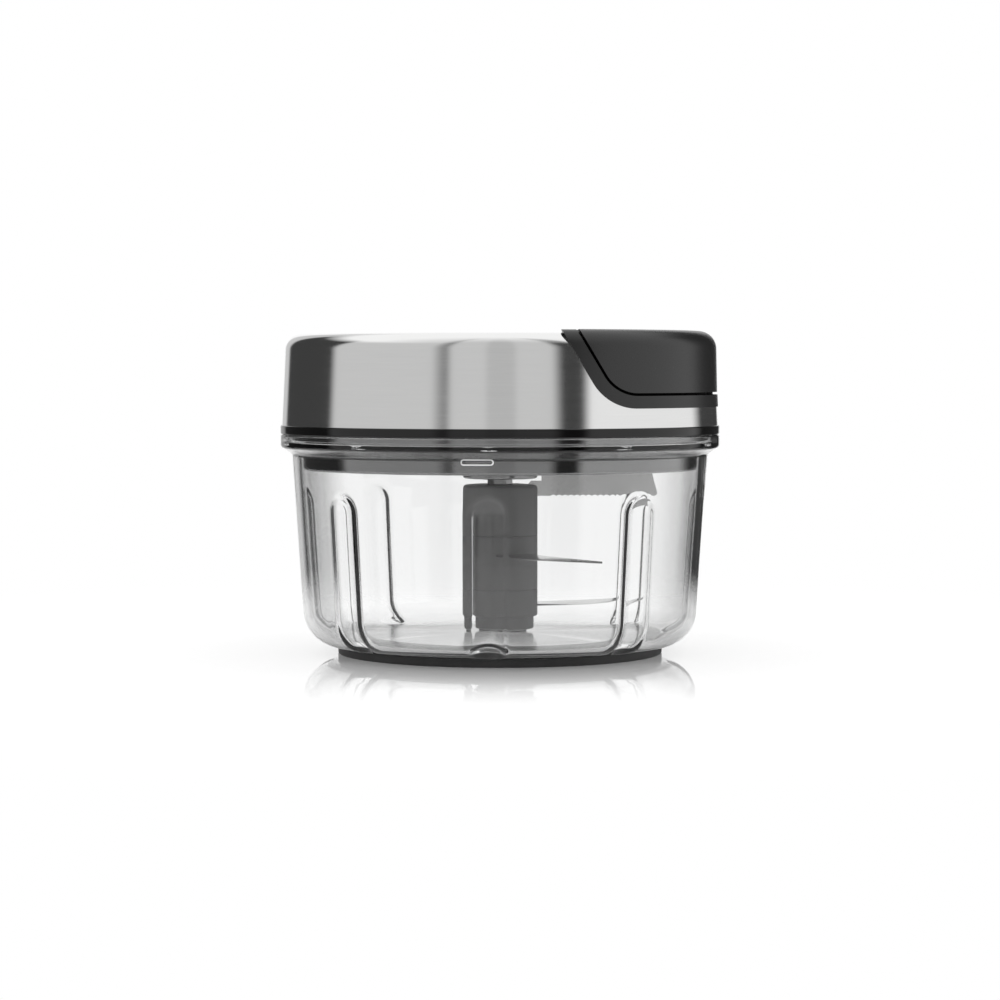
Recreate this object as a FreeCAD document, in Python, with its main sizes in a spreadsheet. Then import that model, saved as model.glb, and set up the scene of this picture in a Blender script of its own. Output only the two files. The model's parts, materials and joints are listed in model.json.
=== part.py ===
"""Pull-cord food chopper: clear bowl, three-blade sleeve, lid with cord mechanism, pull handle.

Millimetres. The origin is the centre of the foot ring's underside, +Z is up and +X is the way
that the handle is pulled. Most heights build up from the bowl and most radii in from its rim.
"""
import FreeCAD, Part
import math
import os
import re

import Sketcher
from FreeCAD import Placement, Rotation, Vector

SIZES = {
    # Bowl: one clear moulding
    "bowl_height": 66.4,
    "bowl_underside": 2.4,
    "bowl_floor_wall": 2.8,
    "bowl_wall": 2.4,
    "bowl_corner_radius": 11.0,
    "bowl_draft": 3.8,
    "rim_radius": 66.5,
    "rim_wall": 2.1,
    "rim_depth": 3.7,
    "rim_overhang": 3.5,
    "rim_ledge_drop": 2.2,
    "rim_rounding": 1.3,
    "rim_edge_rounding": 0.4,
    # Raised mark on the bowl's neck
    "mark_width": 9.4,
    "mark_height": 1.75,
    "mark_proud": 0.5,
    "mark_drop": 0.8,
    "mark_angle": 5.9,
    # Flutes moulded into the bowl's wall
    "flute_radius": 7.0,
    "flute_depth": 1.9,
    "flute_top_margin": 9.6,
    "flute_count": 8,
    "flute_angle": 3.5,
    "flute_end_angle": 18.0,
    # Foot ring
    "foot_inset": 10.0,
    "foot_width": 6.0,
    "foot_seat_depth": 1.0,
    "foot_side_gap": 0.15,
    # Pivot pin and the boss that it stands in
    "pin_radius": 3.0,
    "pin_root_depth": 1.8,
    "pin_top_gap": 1.5,
    "pin_collar_radius": 8.0,
    "pin_collar_height": 0.8,
    # Blade sleeve
    "sleeve_radius": 11.4,
    "sleeve_foot_step": 1.2,
    "sleeve_foot_height": 4.9,
    "sleeve_lower_height": 8.25,
    "sleeve_middle_height": 16.35,
    "sleeve_rounding": 1.2,
    "sleeve_lift": 0.3,
    "sleeve_hub_gap": 1.8,
    "core_radius": 6.5,
    "core_cap": 2.0,
    "sleeve_bush_wall": 0.85,
    "sleeve_bush_length": 8.0,
    # Blades
    "blade_thickness": 0.9,
    "blade_wall_gap": 7.2,
    "blade_width": 12.5,
    "blade_eye_margin": 3.0,
    "middle_blade_rise": 10.7,
    "middle_blade_angle": -60.0,
    "lower_blade_rise": 3.2,
    "lower_blade_angle": 26.0,
    "wing_skirt_gap": 9.3,
    "wing_drop": 3.35,
    "wing_rise": 3.8,
    "wing_hub_gap": 1.2,
    "wing_end_run": 2.0,
    "wing_rounding": 1.0,
    "wing_tooth_radius": 1.1,
    "wing_tooth_depth": 0.35,
    "wing_tooth_pitch": 1.8,
    "wing_tooth_count": 17,
    "wing_tang_inset": 3.0,
    "wing_tang_lean": 1.0,
    "wing_hub_clearance": 0.7,
    # Drive spindle and its hexagonal end
    "spindle_radius": 3.8,
    "spindle_top_gap": 0.3,
    "hex_flats": 6.5,
    "hex_gap": 0.3,
    "hex_rise": 1.6,
    "hex_end_gap": 0.8,
    "socket_depth": 7.4,
    "socket_floor": 1.3,
    "running_gap": 0.05,
    "bush_wall": 1.5,
    # Lid base: flange, centring step, skirt, floor and hub
    "lid_seat_gap": 0.1,
    "lid_flange_thickness": 2.7,
    "lid_step_gap": 0.8,
    "lid_step_lift": 0.3,
    "key_width": 5.6,
    "key_drop": 1.9,
    "key_gap": 0.3,
    "skirt_gap": 0.8,
    "skirt_wall": 2.4,
    "skirt_depth": 10.6,
    "skirt_rounding": 0.8,
    "lid_floor_recess": 1.8,
    "lid_floor_wall": 2.0,
    "hub_radius": 11.4,
    "hub_drop": 4.9,
    "hub_rise": 1.5,
    "hub_rounding": 0.5,
    "seal_drop": 6.5,
    "seal_width": 1.3,
    "seal_groove_depth": 0.9,
    "seal_proud": 0.5,
    "spindle_seal_radius": 8.0,
    "spindle_seal_height": 1.5,
    # Lid cover and housing
    "cover_setback": 0.45,
    "cover_draft": 1.3,
    "cover_rise": 27.25,
    "cover_rounding": 4.7,
    "cover_wall": 0.7,
    "cover_fit": 0.1,
    "housing_wall": 2.2,
    "housing_boss_radius": 7.5,
    "clip_bush_gap": 0.7,
    # Dock that the handle rests in
    "dock_side_proud": 0.25,
    "dock_top_proud": 0.95,
    "dock_sill": 5.6,
    "dock_slope_ratio": 0.6,
    "dock_corner_x": 31.0,
    "dock_corner_radius": 15.3,
    "dock_wall": 3.6,
    "rib_offset": 10.0,
    "rib_width": 1.6,
    "rib_proud": 0.9,
    "rib_gap": 0.3,
    # Handle
    "handle_gap": 0.8,
    "handle_side_inset": 0.1,
    "handle_top_proud": 1.05,
    "handle_draft": 0.6,
    "handle_rounding": 5.4,
    "handle_wall": 2.4,
    "handle_screw_inset": 16.0,
    "handle_screw_offset": 28.0,
    "handle_screw_length": 9.0,
    "handle_boss_radius": 3.6,
    # Screws
    "screw_radius": 1.4,
    "screw_head_radius": 2.9,
    "screw_head_height": 1.4,
    "lid_screw_inset": 7.4,
    "lid_screw_count": 3,
    "lid_screw_length": 12.0,
    "lid_boss_radius": 4.2,
    "lid_web_wall": 2.0,
    "lid_web_height": 5.0,
    # Cord, eyelet and cord stop
    "cord_radius": 1.0,
    "cord_rise": 5.6,
    "cord_gap": 0.3,
    "cord_bend_lead": 1.0,
    "cord_bend_radius": 6.0,
    "eyelet_clearance": 0.6,
    "eyelet_wall": 1.4,
    "eyelet_head_rim": 1.2,
    "eyelet_head_thickness": 1.2,
    "eyelet_length": 4.8,
    "eyelet_recess": 0.3,
    "eyelet_rounding": 0.5,
    "eyelet_boss_wall": 1.6,
    "cord_hole_gap": 0.4,
    "anchor_wall": 1.8,
    "anchor_length": 6.0,
    "anchor_rounding": 0.5,
    "anchor_boss_radius": 4.0,
    "anchor_boss_length": 5.2,
    # Cord drum
    "winding_radius": 13.5,
    "winding_width": 6.0,
    "drum_core_radius": 8.5,
    "drum_flange_rise": 3.0,
    "drum_flange_wall": 1.2,
    "drum_hub_radius": 6.5,
    "drum_lift": 0.3,
    "clip_radius": 6.0,
    "clip_groove_depth": 0.6,
    "clip_thickness": 0.8,
    # Return spring and its case
    "spring_case_radius": 28.0,
    "spring_case_wall": 1.6,
    "spring_case_rounding": 2.0,
    "spring_hole_gap": 1.5,
    "spring_strip": 0.5,
    "spring_width": 9.0,
    "spring_hub_lift": 1.0,
    "spring_hub_gap": 0.7,
    "spring_side_gap": 0.3,
    "spring_top_gap": 0.9,
    "spring_turns": 8,
    # How far a cutting shape runs past what it cuts
    "overcut": 1.0,
}

# Sizes that follow from the driving ones, as expressions on them
DERIVED = {
    # Bowl
    "bowl_floor": "bowl_underside + bowl_floor_wall",
    "rim_underside": "bowl_height - rim_depth",
    "rim_inner": "rim_radius - rim_wall",
    "bowl_neck_height": "rim_underside - rim_ledge_drop",
    "bowl_neck_radius": "rim_radius - rim_overhang",
    "bowl_inner_neck": "bowl_neck_radius - bowl_wall",
    "bowl_foot_radius": "bowl_neck_radius - bowl_draft",
    "bowl_taper": "bowl_draft / (bowl_neck_height - bowl_underside)",
    "bowl_bend_height": "bowl_underside + bowl_corner_radius",
    "bowl_bend_x": "bowl_foot_radius + bowl_corner_radius * (bowl_taper - sqrt(1 + bowl_taper ^ 2))",
    "ledge_slope": "rim_ledge_drop / rim_overhang",
    "ledge_rise": "bowl_wall * sqrt(1 + ledge_slope ^ 2)",
    "cavity_foot_radius": "bowl_foot_radius - bowl_wall + bowl_taper * bowl_floor_wall",
    "cavity_neck_radius": "(bowl_inner_neck + bowl_taper * (ledge_rise - bowl_neck_radius"
                          " * ledge_slope)) / (1 - bowl_taper * ledge_slope)",
    "cavity_neck_height": "bowl_neck_height + ledge_rise"
                          " - (bowl_neck_radius - cavity_neck_radius) * ledge_slope",
    "cavity_rim_height": "rim_underside + ledge_rise - rim_wall * ledge_slope",
    "flute_stand_off": "flute_radius - flute_depth",
    "flute_bend_radius": "bowl_corner_radius + flute_stand_off",
    "flute_path_top": "bowl_neck_height - flute_top_margin - flute_radius",
    "flute_path_x": "bowl_foot_radius + bowl_taper * (flute_path_top - bowl_underside)"
                    " + flute_stand_off * sqrt(1 + bowl_taper ^ 2)",
    "foot_outer_radius": "bowl_foot_radius - foot_inset",
    "foot_inner_radius": "foot_outer_radius - foot_width",
    "foot_top": "bowl_underside + foot_seat_depth",
    "pin_root": "bowl_floor - pin_root_depth",
    "pin_collar_top": "bowl_floor + pin_collar_height",
    "pin_top": "core_top - core_cap - pin_top_gap",
    # Blade unit
    "sleeve_bottom": "pin_collar_top + sleeve_lift",
    "sleeve_foot_radius": "sleeve_radius - sleeve_foot_step",
    "sleeve_foot_top": "sleeve_bottom + sleeve_foot_height",
    "sleeve_lower_top": "sleeve_foot_top + sleeve_lower_height",
    "sleeve_middle_top": "sleeve_lower_top + sleeve_middle_height",
    "sleeve_top": "hub_underside - sleeve_hub_gap",
    "socket_bottom": "sleeve_top - socket_depth",
    "core_top": "socket_bottom - socket_floor",
    "core_bore": "pin_radius + running_gap + sleeve_bush_wall",
    "blade_reach": "bowl_foot_radius - blade_wall_gap",
    "blade_eye_radius": "core_radius + blade_eye_margin",
    "middle_blade_height": "sleeve_lower_top + middle_blade_rise",
    "lower_blade_height": "sleeve_foot_top + lower_blade_rise",
    "wing_start": "hub_radius + wing_hub_gap",
    "wing_tang": "sleeve_radius - wing_tang_inset",
    "wing_reach": "skirt_inner - wing_skirt_gap",
    "wing_bottom": "sleeve_top - wing_drop",
    "wing_top": "sleeve_top + wing_rise",
    "hex_top": "sleeve_top + hex_rise",
    "hex_bottom": "socket_bottom + hex_end_gap",
    "bush_bore": "spindle_radius + running_gap",
    "bush_radius": "bush_bore + bush_wall",
    # Lid
    "lid_flange_underside": "bowl_height + lid_seat_gap",
    "lid_flange_top": "lid_flange_underside + lid_flange_thickness",
    "lid_step_radius": "rim_inner - lid_step_gap",
    "lid_step_bottom": "cavity_rim_height + lid_step_lift",
    "skirt_radius": "bowl_inner_neck - skirt_gap",
    "skirt_inner": "skirt_radius - skirt_wall",
    "skirt_bottom": "lid_flange_underside - skirt_depth",
    "lid_floor_underside": "skirt_bottom + lid_floor_recess",
    "lid_floor_top": "lid_floor_underside + lid_floor_wall",
    "hub_underside": "lid_floor_underside - hub_drop",
    "hub_top": "lid_floor_top + hub_rise",
    "seal_bottom": "lid_flange_underside - seal_drop",
    "seal_top": "seal_bottom + seal_width",
    "seal_groove_radius": "skirt_radius - seal_groove_depth",
    "spindle_seal_top": "hub_underside + spindle_seal_height",
    "cover_radius": "rim_radius - cover_setback",
    "cover_top_radius": "cover_radius - cover_draft",
    "cover_height": "lid_flange_top + cover_rise",
    "housing_inset": "cover_wall + cover_fit",
    "housing_top": "cover_height - housing_inset",
    "ceiling": "housing_top - housing_wall",
    "housing_boss_bottom": "drum_top + clip_thickness + clip_bush_gap",
    "lid_screw_circle": "skirt_inner - lid_screw_inset",
    # Dock and handle
    "dock_radius": "cover_radius + dock_side_proud",
    "dock_height": "cover_height + dock_top_proud",
    "dock_corner_height": "lid_flange_top + dock_sill",
    "slope_stretch": "sqrt(1 + dock_slope_ratio ^ 2)",
    "dock_wall_x": "dock_wall * slope_stretch",
    "handle_face_x": "dock_wall_x + handle_gap * slope_stretch",
    "handle_face_radius": "dock_corner_radius - dock_wall - handle_gap",
    "rib_reach": "handle_gap + rib_proud",
    "handle_bottom": "dock_corner_height + dock_wall + handle_gap",
    "handle_floor": "handle_bottom + handle_wall",
    "handle_radius": "cover_radius - handle_side_inset",
    "handle_height": "cover_height + handle_top_proud",
    "handle_ceiling": "handle_height - handle_wall",
    "handle_top_radius": "handle_radius - handle_draft",
    "rib_radius": "handle_top_radius - handle_wall - rib_gap",
    "handle_screw_x": "handle_radius - handle_screw_inset",
    # Cord and drum
    "cord_height": "handle_bottom + cord_rise",
    "cord_wall_x": "dock_corner_x - dock_slope_ratio * (cord_height - dock_corner_height)",
    "eyelet_bore": "cord_radius + eyelet_clearance",
    "eyelet_radius": "eyelet_bore + eyelet_wall",
    "eyelet_head_radius": "eyelet_radius + eyelet_head_rim",
    "eyelet_end": "cord_wall_x + dock_wall_x - dock_slope_ratio * eyelet_radius - eyelet_recess",
    "eyelet_seat_x": "eyelet_end - eyelet_length",
    "eyelet_head_x": "eyelet_seat_x - eyelet_head_thickness",
    "cord_bend_x": "eyelet_head_x - cord_bend_lead",
    "run_radius": "winding_radius + cord_gap + cord_radius",
    "anchor_start": "cord_wall_x + handle_face_x + handle_wall * slope_stretch"
                    " + anchor_boss_length",
    "anchor_end": "anchor_start + anchor_length",
    "drum_deck": "cord_height - winding_width / 2",
    "drum_ceiling": "cord_height + winding_width / 2",
    "drum_top": "drum_ceiling + drum_flange_wall",
    "drum_bottom": "hub_top + drum_lift",
    "drum_flange_radius": "winding_radius + drum_flange_rise",
    "clip_groove_radius": "spindle_radius - clip_groove_depth",
    # Return spring
    "spring_bottom": "hub_top + spring_hub_lift",
    "spring_ceiling": "spring_bottom + spring_width + spring_top_gap",
    "spring_case_top": "spring_ceiling + spring_case_wall",
    "spring_case_inner": "spring_case_radius - spring_case_wall",
    "spring_inner_radius": "drum_hub_radius + spring_hub_gap",
    "spring_pitch": "(spring_case_inner - spring_side_gap - spring_inner_radius - spring_strip)"
                    " / spring_turns",
}

doc = FreeCAD.newDocument("chopper")
sheet = doc.addObject("Spreadsheet::Sheet", "Sizes")
subparts = []


# Sizes and expressions ----------------------------------------------------------------------

def fill_sheet():
    """Write every driving dimension into the sheet, one row each, with its alias."""
    for row, (name, number) in enumerate(SIZES.items(), start=1):
        sheet.set(f"A{row}", name)
        sheet.set(f"B{row}", str(number))
        sheet.setAlias(f"B{row}", name)
    doc.recompute()


def bound(text):
    """Turn an expression on size names into one on the sheet's cells."""
    def cell(match):
        word = match.group(0)
        if word in SIZES:
            return "Sizes." + word
        if word in DERIVED:
            return "(" + bound(DERIVED[word]) + ")"
        return word
    return re.sub(r"[a-z_]+", cell, text)


def value(text):
    """What an expression on size names comes to now."""
    return float(sheet.evalExpression(bound(text)))


def bind(item, properties):
    """Set properties of an object by expressions on the sheet."""
    for name, text in properties.items():
        item.setExpression(name, bound(text))


def place(item, x="0", y="0", z="0"):
    bind(item, {".Placement.Base.x": x, ".Placement.Base.y": y, ".Placement.Base.z": z})


def subpart(item, label):
    """Name a finished object as one of the pieces that are written out."""
    item.Label = label
    subparts.append(item)


# Sketches -----------------------------------------------------------------------------------

def origin_feature(body, role):
    return next(item for item in body.Origin.OriginFeatures if item.Role == role)


def new_sketch(body, name, plane, lift="0"):
    """Sketch on one of the body's own origin planes, or a lift above it."""
    sketch = body.newObject("Sketcher::SketchObject", name)
    sketch.AttachmentSupport = [(origin_feature(body, plane), "")]
    sketch.MapMode = "FlatFace"
    bind(sketch, {".AttachmentOffset.Base.z": lift})
    return sketch


def dimension(sketch, name, text, kind, *elements):
    """Dimensional constraint that an expression drives."""
    index = sketch.addConstraint(Sketcher.Constraint(kind, *elements, value(text)))
    sketch.renameConstraint(index, name)
    sketch.setExpression("Constraints." + name, bound(text))


def fix_point(sketch, name, geometry, vertex, x, y):
    """Hold a vertex at two distances from the sketch's origin."""
    dimension(sketch, name + "_x", x, "DistanceX", -1, 1, geometry, vertex)
    dimension(sketch, name + "_y", y, "DistanceY", -1, 1, geometry, vertex)


def corner_ends(before, corner, after, rounding):
    """Where a rounded corner's arc starts, its centre, and where it ends."""
    back = (before - corner).normalize()
    ahead = (after - corner).normalize()
    half = back.getAngle(ahead) / 2
    reach = rounding / math.tan(half)
    centre = corner + (back + ahead).normalize() * (rounding / math.sin(half))
    return corner + back * reach, centre, corner + ahead * reach


def add_arc(sketch, centre, start, end):
    """Arc that runs anticlockwise from start to end."""
    angles = [math.atan2(point.y - centre.y, point.x - centre.x) for point in (start, end)]
    circle = Part.Circle(centre, Vector(0, 0, 1), start.distanceToPoint(centre))
    return sketch.addGeometry(Part.ArcOfCircle(circle, *angles), False)


def draw_outline(sketch, corners):
    """Closed outline through corners (x, y) or (x, y, rounding), each given by expressions."""
    points = [Vector(value(corner[0]), value(corner[1]), 0) for corner in corners]
    count = len(points)
    arcs = {}
    for i, corner in enumerate(corners):
        if len(corner) == 3:
            arcs[i] = corner_ends(points[i - 1], points[i], points[(i + 1) % count],
                                  value(corner[2]))
    for i in range(count):
        after = (i + 1) % count
        start = arcs[i][2] if i in arcs else points[i]
        end = arcs[after][0] if after in arcs else points[after]
        sketch.addGeometry(Part.LineSegment(start, end), False)
    for i, corner in enumerate(corners):
        before = (i - 1) % count
        if i not in arcs:
            sketch.addConstraint(Sketcher.Constraint("Coincident", before, 2, i, 1))
            fix_point(sketch, f"corner{i}", i, 1, corner[0], corner[1])
            continue
        entry, centre, leave = arcs[i]
        turn = (entry - centre).cross(leave - centre).z
        if turn > 0:
            arc = add_arc(sketch, centre, entry, leave)
            ends = (1, 2)
        else:
            arc = add_arc(sketch, centre, leave, entry)
            ends = (2, 1)
        sketch.addConstraint(Sketcher.Constraint("Tangent", before, 2, arc, ends[0]))
        sketch.addConstraint(Sketcher.Constraint("Tangent", arc, ends[1], i, 1))
        dimension(sketch, f"rounding{i}", corner[2], "Radius", arc)
        tip = sketch.addGeometry(Part.Point(points[i]), True)
        fix_point(sketch, f"corner{i}", tip, 1, corner[0], corner[1])
        sketch.addConstraint(Sketcher.Constraint("PointOnObject", tip, 1, before))
        sketch.addConstraint(Sketcher.Constraint("PointOnObject", tip, 1, i))


def draw_circle(sketch, x, y, radius):
    centre = Vector(value(x), value(y), 0)
    circle = sketch.addGeometry(Part.Circle(centre, Vector(0, 0, 1), value(radius)), False)
    fix_point(sketch, "centre", circle, 3, x, y)
    dimension(sketch, "radius", radius, "Radius", circle)


# Features -----------------------------------------------------------------------------------

def new_body(name):
    return doc.addObject("PartDesign::Body", name)


def pad(body, name, sketch, length, both_ways=False):
    feature = body.newObject("PartDesign::Pad", name)
    feature.Profile = sketch
    feature.Midplane = both_ways
    bind(feature, {"Length": length})
    doc.recompute()
    return feature


def turned(name, corners, axis="V_Axis"):
    """Body turned from one outline in the XZ plane, about Z or, with H_Axis, about X."""
    body = new_body(name)
    sketch = new_sketch(body, name + "_outline", "XZ_Plane")
    draw_outline(sketch, corners)
    turn = body.newObject("PartDesign::Revolution", name + "_turn")
    turn.Profile = sketch
    turn.ReferenceAxis = (sketch, [axis])
    turn.Angle = 360
    doc.recompute()
    return body


def ring(name, inner, outer, bottom, top):
    """Turned ring of rectangular section."""
    return turned(name, [(inner, bottom), (outer, bottom), (outer, top), (inner, top)])


def upright_slab(name, corners, thickness):
    """Outline in the XZ plane, padded half its thickness each way."""
    body = new_body(name)
    sketch = new_sketch(body, name + "_outline", "XZ_Plane")
    draw_outline(sketch, corners)
    pad(body, name + "_pad", sketch, thickness, both_ways=True)
    return body


def flat_slab(name, corners, bottom, thickness):
    """Outline in plan, padded upwards."""
    body = new_body(name)
    sketch = new_sketch(body, name + "_outline", "XY_Plane", bottom)
    draw_outline(sketch, corners)
    pad(body, name + "_pad", sketch, thickness)
    return body


def cylinder(name, radius, bottom, top, x="0", y="0"):
    """Upright cylinder between two heights."""
    item = doc.addObject("Part::Cylinder", name)
    bind(item, {"Radius": radius, "Height": f"({top}) - ({bottom})"})
    place(item, x, y, bottom)
    return item


def cord_cylinder(name, radius, start, end):
    """Cylinder along X at the cord's height."""
    item = doc.addObject("Part::Cylinder", name)
    item.Placement = Placement(Vector(), Rotation(Vector(0, 1, 0), 90))
    bind(item, {"Radius": radius, "Height": f"({end}) - ({start})"})
    place(item, start, "0", "cord_height")
    return item


def hexagon(name, flats, bottom, top):
    """Upright hexagonal bar, given by its width across flats."""
    item = doc.addObject("Part::Prism", name)
    item.Polygon = 6
    bind(item, {"Circumradius": f"({flats}) / sqrt(3)", "Height": f"({top}) - ({bottom})"})
    place(item, z=bottom)
    return item


def cut(name, base, *tools):
    result = base
    for number, tool in enumerate(tools):
        step = doc.addObject("Part::Cut", f"{name}{number}")
        step.Base = result
        step.Tool = tool
        result = step
    doc.recompute()
    return result


def fuse(name, *pieces):
    item = doc.addObject("Part::MultiFuse", name)
    item.Shapes = list(pieces)
    doc.recompute()
    return item


def common(name, base, tool):
    item = doc.addObject("Part::Common", name)
    item.Base = base
    item.Tool = tool
    doc.recompute()
    return item


def repeat_round(body, name, features, count):
    """Repeat features of a body evenly about Z."""
    pattern = body.newObject("PartDesign::PolarPattern", name)
    pattern.Originals = features
    pattern.Axis = (origin_feature(body, "Z_Axis"), [""])
    pattern.Angle = 360
    bind(pattern, {"Occurrences": count})
    body.Tip = pattern
    doc.recompute()


# Bowl ---------------------------------------------------------------------------------------

def bowl_outer():
    """Everything inside the bowl's outer surface, as one filled form."""
    return turned("bowl_outer", [
        ("0", "bowl_underside"),
        ("bowl_foot_radius", "bowl_underside", "bowl_corner_radius"),
        ("bowl_neck_radius", "bowl_neck_height", "rim_rounding"),
        ("rim_radius", "rim_underside", "rim_rounding"),
        ("rim_radius", "bowl_height", "rim_edge_rounding"),
        ("0", "bowl_height")])


def bowl_cavity():
    """Inside of the bowl, one wall thickness in from the outer surface."""
    above = "bowl_height + overcut"
    return turned("bowl_cavity", [
        ("0", "bowl_floor"),
        ("cavity_foot_radius", "bowl_floor", "bowl_corner_radius - bowl_wall"),
        ("cavity_neck_radius", "cavity_neck_height", "rim_rounding"),
        ("rim_inner", "cavity_rim_height", "rim_edge_rounding"),
        ("rim_inner", above),
        ("0", above)])


def flute_path(body, name):
    """Line down beside the wall, then an arc round the bowl's lower corner."""
    path = new_sketch(body, name, "XZ_Plane")
    bend = value("flute_bend_radius")
    centre = Vector(value("bowl_bend_x"), value("bowl_bend_height"), 0)
    fall = math.atan(value("bowl_taper"))
    end_angle = math.radians(value("flute_end_angle"))
    high = centre + Vector(math.cos(fall), -math.sin(fall), 0) * bend
    low = centre + Vector(math.sin(end_angle), -math.cos(end_angle), 0) * bend
    top = Vector(value("flute_path_x"), value("flute_path_top"), 0)
    line = path.addGeometry(Part.LineSegment(top, high), False)
    arc = add_arc(path, centre, low, high)
    fix_point(path, "top", line, 1, "flute_path_x", "flute_path_top")
    fix_point(path, "bend", arc, 3, "bowl_bend_x", "bowl_bend_height")
    dimension(path, "bend_radius", "flute_bend_radius", "Radius", arc)
    dimension(path, "end_reach", "flute_bend_radius * sin(flute_end_angle * 1deg)",
              "DistanceX", arc, 3, arc, 1)
    path.addConstraint(Sketcher.Constraint("Tangent", line, 2, arc, 2))
    doc.recompute()
    return path


def flute_rods(name, radius):
    """Round-topped rods that follow the wall and its lower corner, one for each flute."""
    body = new_body(name)
    body.AllowCompound = True
    path = flute_path(body, name + "_path")
    section = body.newObject("Sketcher::SketchObject", name + "_section")
    section.AttachmentSupport = [(path, "Edge1")]
    section.MapMode = "NormalToEdge"
    section.MapPathParameter = 0
    draw_circle(section, "0", "0", radius)
    doc.recompute()
    pipe = body.newObject("PartDesign::AdditivePipe", name + "_pipe")
    pipe.Profile = section
    pipe.Spine = (path, ["Edge1", "Edge2"])
    doc.recompute()
    repeat_round(body, name + "_pipes", [pipe], "flute_count")
    ball = body.newObject("PartDesign::AdditiveSphere", name + "_ball")
    ball.AttachmentSupport = [(origin_feature(body, "XY_Plane"), "")]
    ball.MapMode = "FlatFace"
    bind(ball, {"Radius": radius, ".AttachmentOffset.Base.x": "flute_path_x",
                ".AttachmentOffset.Base.z": "flute_path_top"})
    doc.recompute()
    repeat_round(body, name + "_balls", [ball], "flute_count")
    bind(body, {".Placement.Rotation.Angle": "-90 - flute_angle"})
    return body


def neck_mark():
    """Small raised rounded bar on the front of the bowl's neck."""
    body = new_body("neck_mark")
    sketch = new_sketch(body, "neck_mark_outline", "XZ_Plane", "bowl_neck_radius - bowl_wall / 2")
    middle = "(bowl_neck_height - mark_drop)"
    low = f"{middle} - mark_height / 2"
    high = f"{middle} + mark_height / 2"
    draw_outline(sketch, [(x, z, "mark_height * 0.4") for x, z in (
        ("-mark_width / 2", low), ("mark_width / 2", low),
        ("mark_width / 2", high), ("-mark_width / 2", high))])
    pad(body, "neck_mark_pad", sketch, "bowl_wall / 2 + mark_proud")
    bind(body, {".Placement.Rotation.Angle": "-mark_angle"})
    doc.recompute()
    return body


def make_bowl():
    grooves = flute_rods("flute_grooves", "flute_radius")
    ribs = flute_rods("flute_ribs", "flute_radius + bowl_wall")
    hollow = cut("bowl_hollow", bowl_cavity(), ribs)
    shell = cut("bowl_shell", bowl_outer(), hollow, grooves)
    boss = cylinder("pin_boss", "pin_collar_radius", "bowl_floor - overcut", "pin_collar_top")
    whole = fuse("bowl_whole", shell, boss, neck_mark())
    seat = ring("foot_seat", "foot_inner_radius - foot_side_gap",
                "foot_outer_radius + foot_side_gap", "bowl_underside - overcut", "foot_top")
    pin_hole = cylinder("pin_hole", "pin_radius", "pin_root", "pin_top")
    subpart(cut("bowl_drilled", whole, seat, pin_hole), "bowl")
    subpart(ring("foot_form", "foot_inner_radius", "foot_outer_radius", "0", "foot_top"),
            "base_ring")
    subpart(turned("pin_form", [
        ("0", "pin_root"), ("pin_radius", "pin_root"),
        ("pin_radius", "pin_top", "pin_radius * 0.8"), ("0", "pin_top")]), "pivot_pin")


# Blade unit ---------------------------------------------------------------------------------

def sickle(name, height, angle):
    """Flat curved blade with an eye that sits on the sleeve's core."""
    bottom = f"{height} - blade_thickness / 2"
    top = f"{height} + blade_thickness / 2"
    edge = flat_slab(name + "_edge", [
        ("core_radius * 0.8", "-blade_width * 0.36"),
        ("blade_reach * 0.5", "-blade_width * 0.62", "blade_reach * 0.4"),
        ("blade_reach", "blade_width * 0.3"),
        ("blade_reach * 0.45", "blade_width * 0.24", "blade_reach * 0.6"),
        ("core_radius * 0.8", "blade_width * 0.38")], bottom, "blade_thickness")
    eye = cylinder(name + "_eye", "blade_eye_radius", bottom, top)
    hole = cylinder(name + "_hole", "core_radius", f"{bottom} - overcut", f"{top} + overcut")
    plate = cut(name + "_plate", fuse(name + "_blank", edge, eye), hole)
    bind(plate, {".Placement.Rotation.Angle": angle})
    doc.recompute()
    subpart(plate, name)
    return plate


def make_wing_blade():
    """Upright blade at the sleeve's top: scalloped lower edge, and a tang set into the sleeve."""
    below_hub = "hub_underside - wing_hub_clearance"
    body = upright_slab("wing_plate", [
        ("wing_tang", "wing_bottom"),
        ("wing_reach", "wing_bottom", "wing_rounding"),
        ("wing_reach - wing_end_run", "wing_top"),
        ("wing_start", "wing_top", "wing_rounding"),
        ("wing_start", below_hub),
        ("wing_tang + wing_tang_lean", below_hub),
        ("wing_tang", "sleeve_top")], "blade_thickness")
    scallop = new_sketch(body, "wing_scallop", "XZ_Plane")
    draw_circle(scallop, "wing_start + 2 * wing_tooth_pitch",
                "wing_bottom + wing_tooth_depth - wing_tooth_radius", "wing_tooth_radius")
    notch = body.newObject("PartDesign::Pocket", "wing_notch")
    notch.Profile = scallop
    notch.Midplane = True
    bind(notch, {"Length": "blade_thickness * 2"})
    doc.recompute()
    teeth = body.newObject("PartDesign::LinearPattern", "wing_teeth")
    teeth.Originals = [notch]
    teeth.Direction = (origin_feature(body, "X_Axis"), [""])
    bind(teeth, {"Length": "wing_tooth_pitch * (wing_tooth_count - 1)",
                 "Occurrences": "wing_tooth_count"})
    body.Tip = teeth
    doc.recompute()
    subpart(body, "top_wing_blade")
    return body


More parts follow.
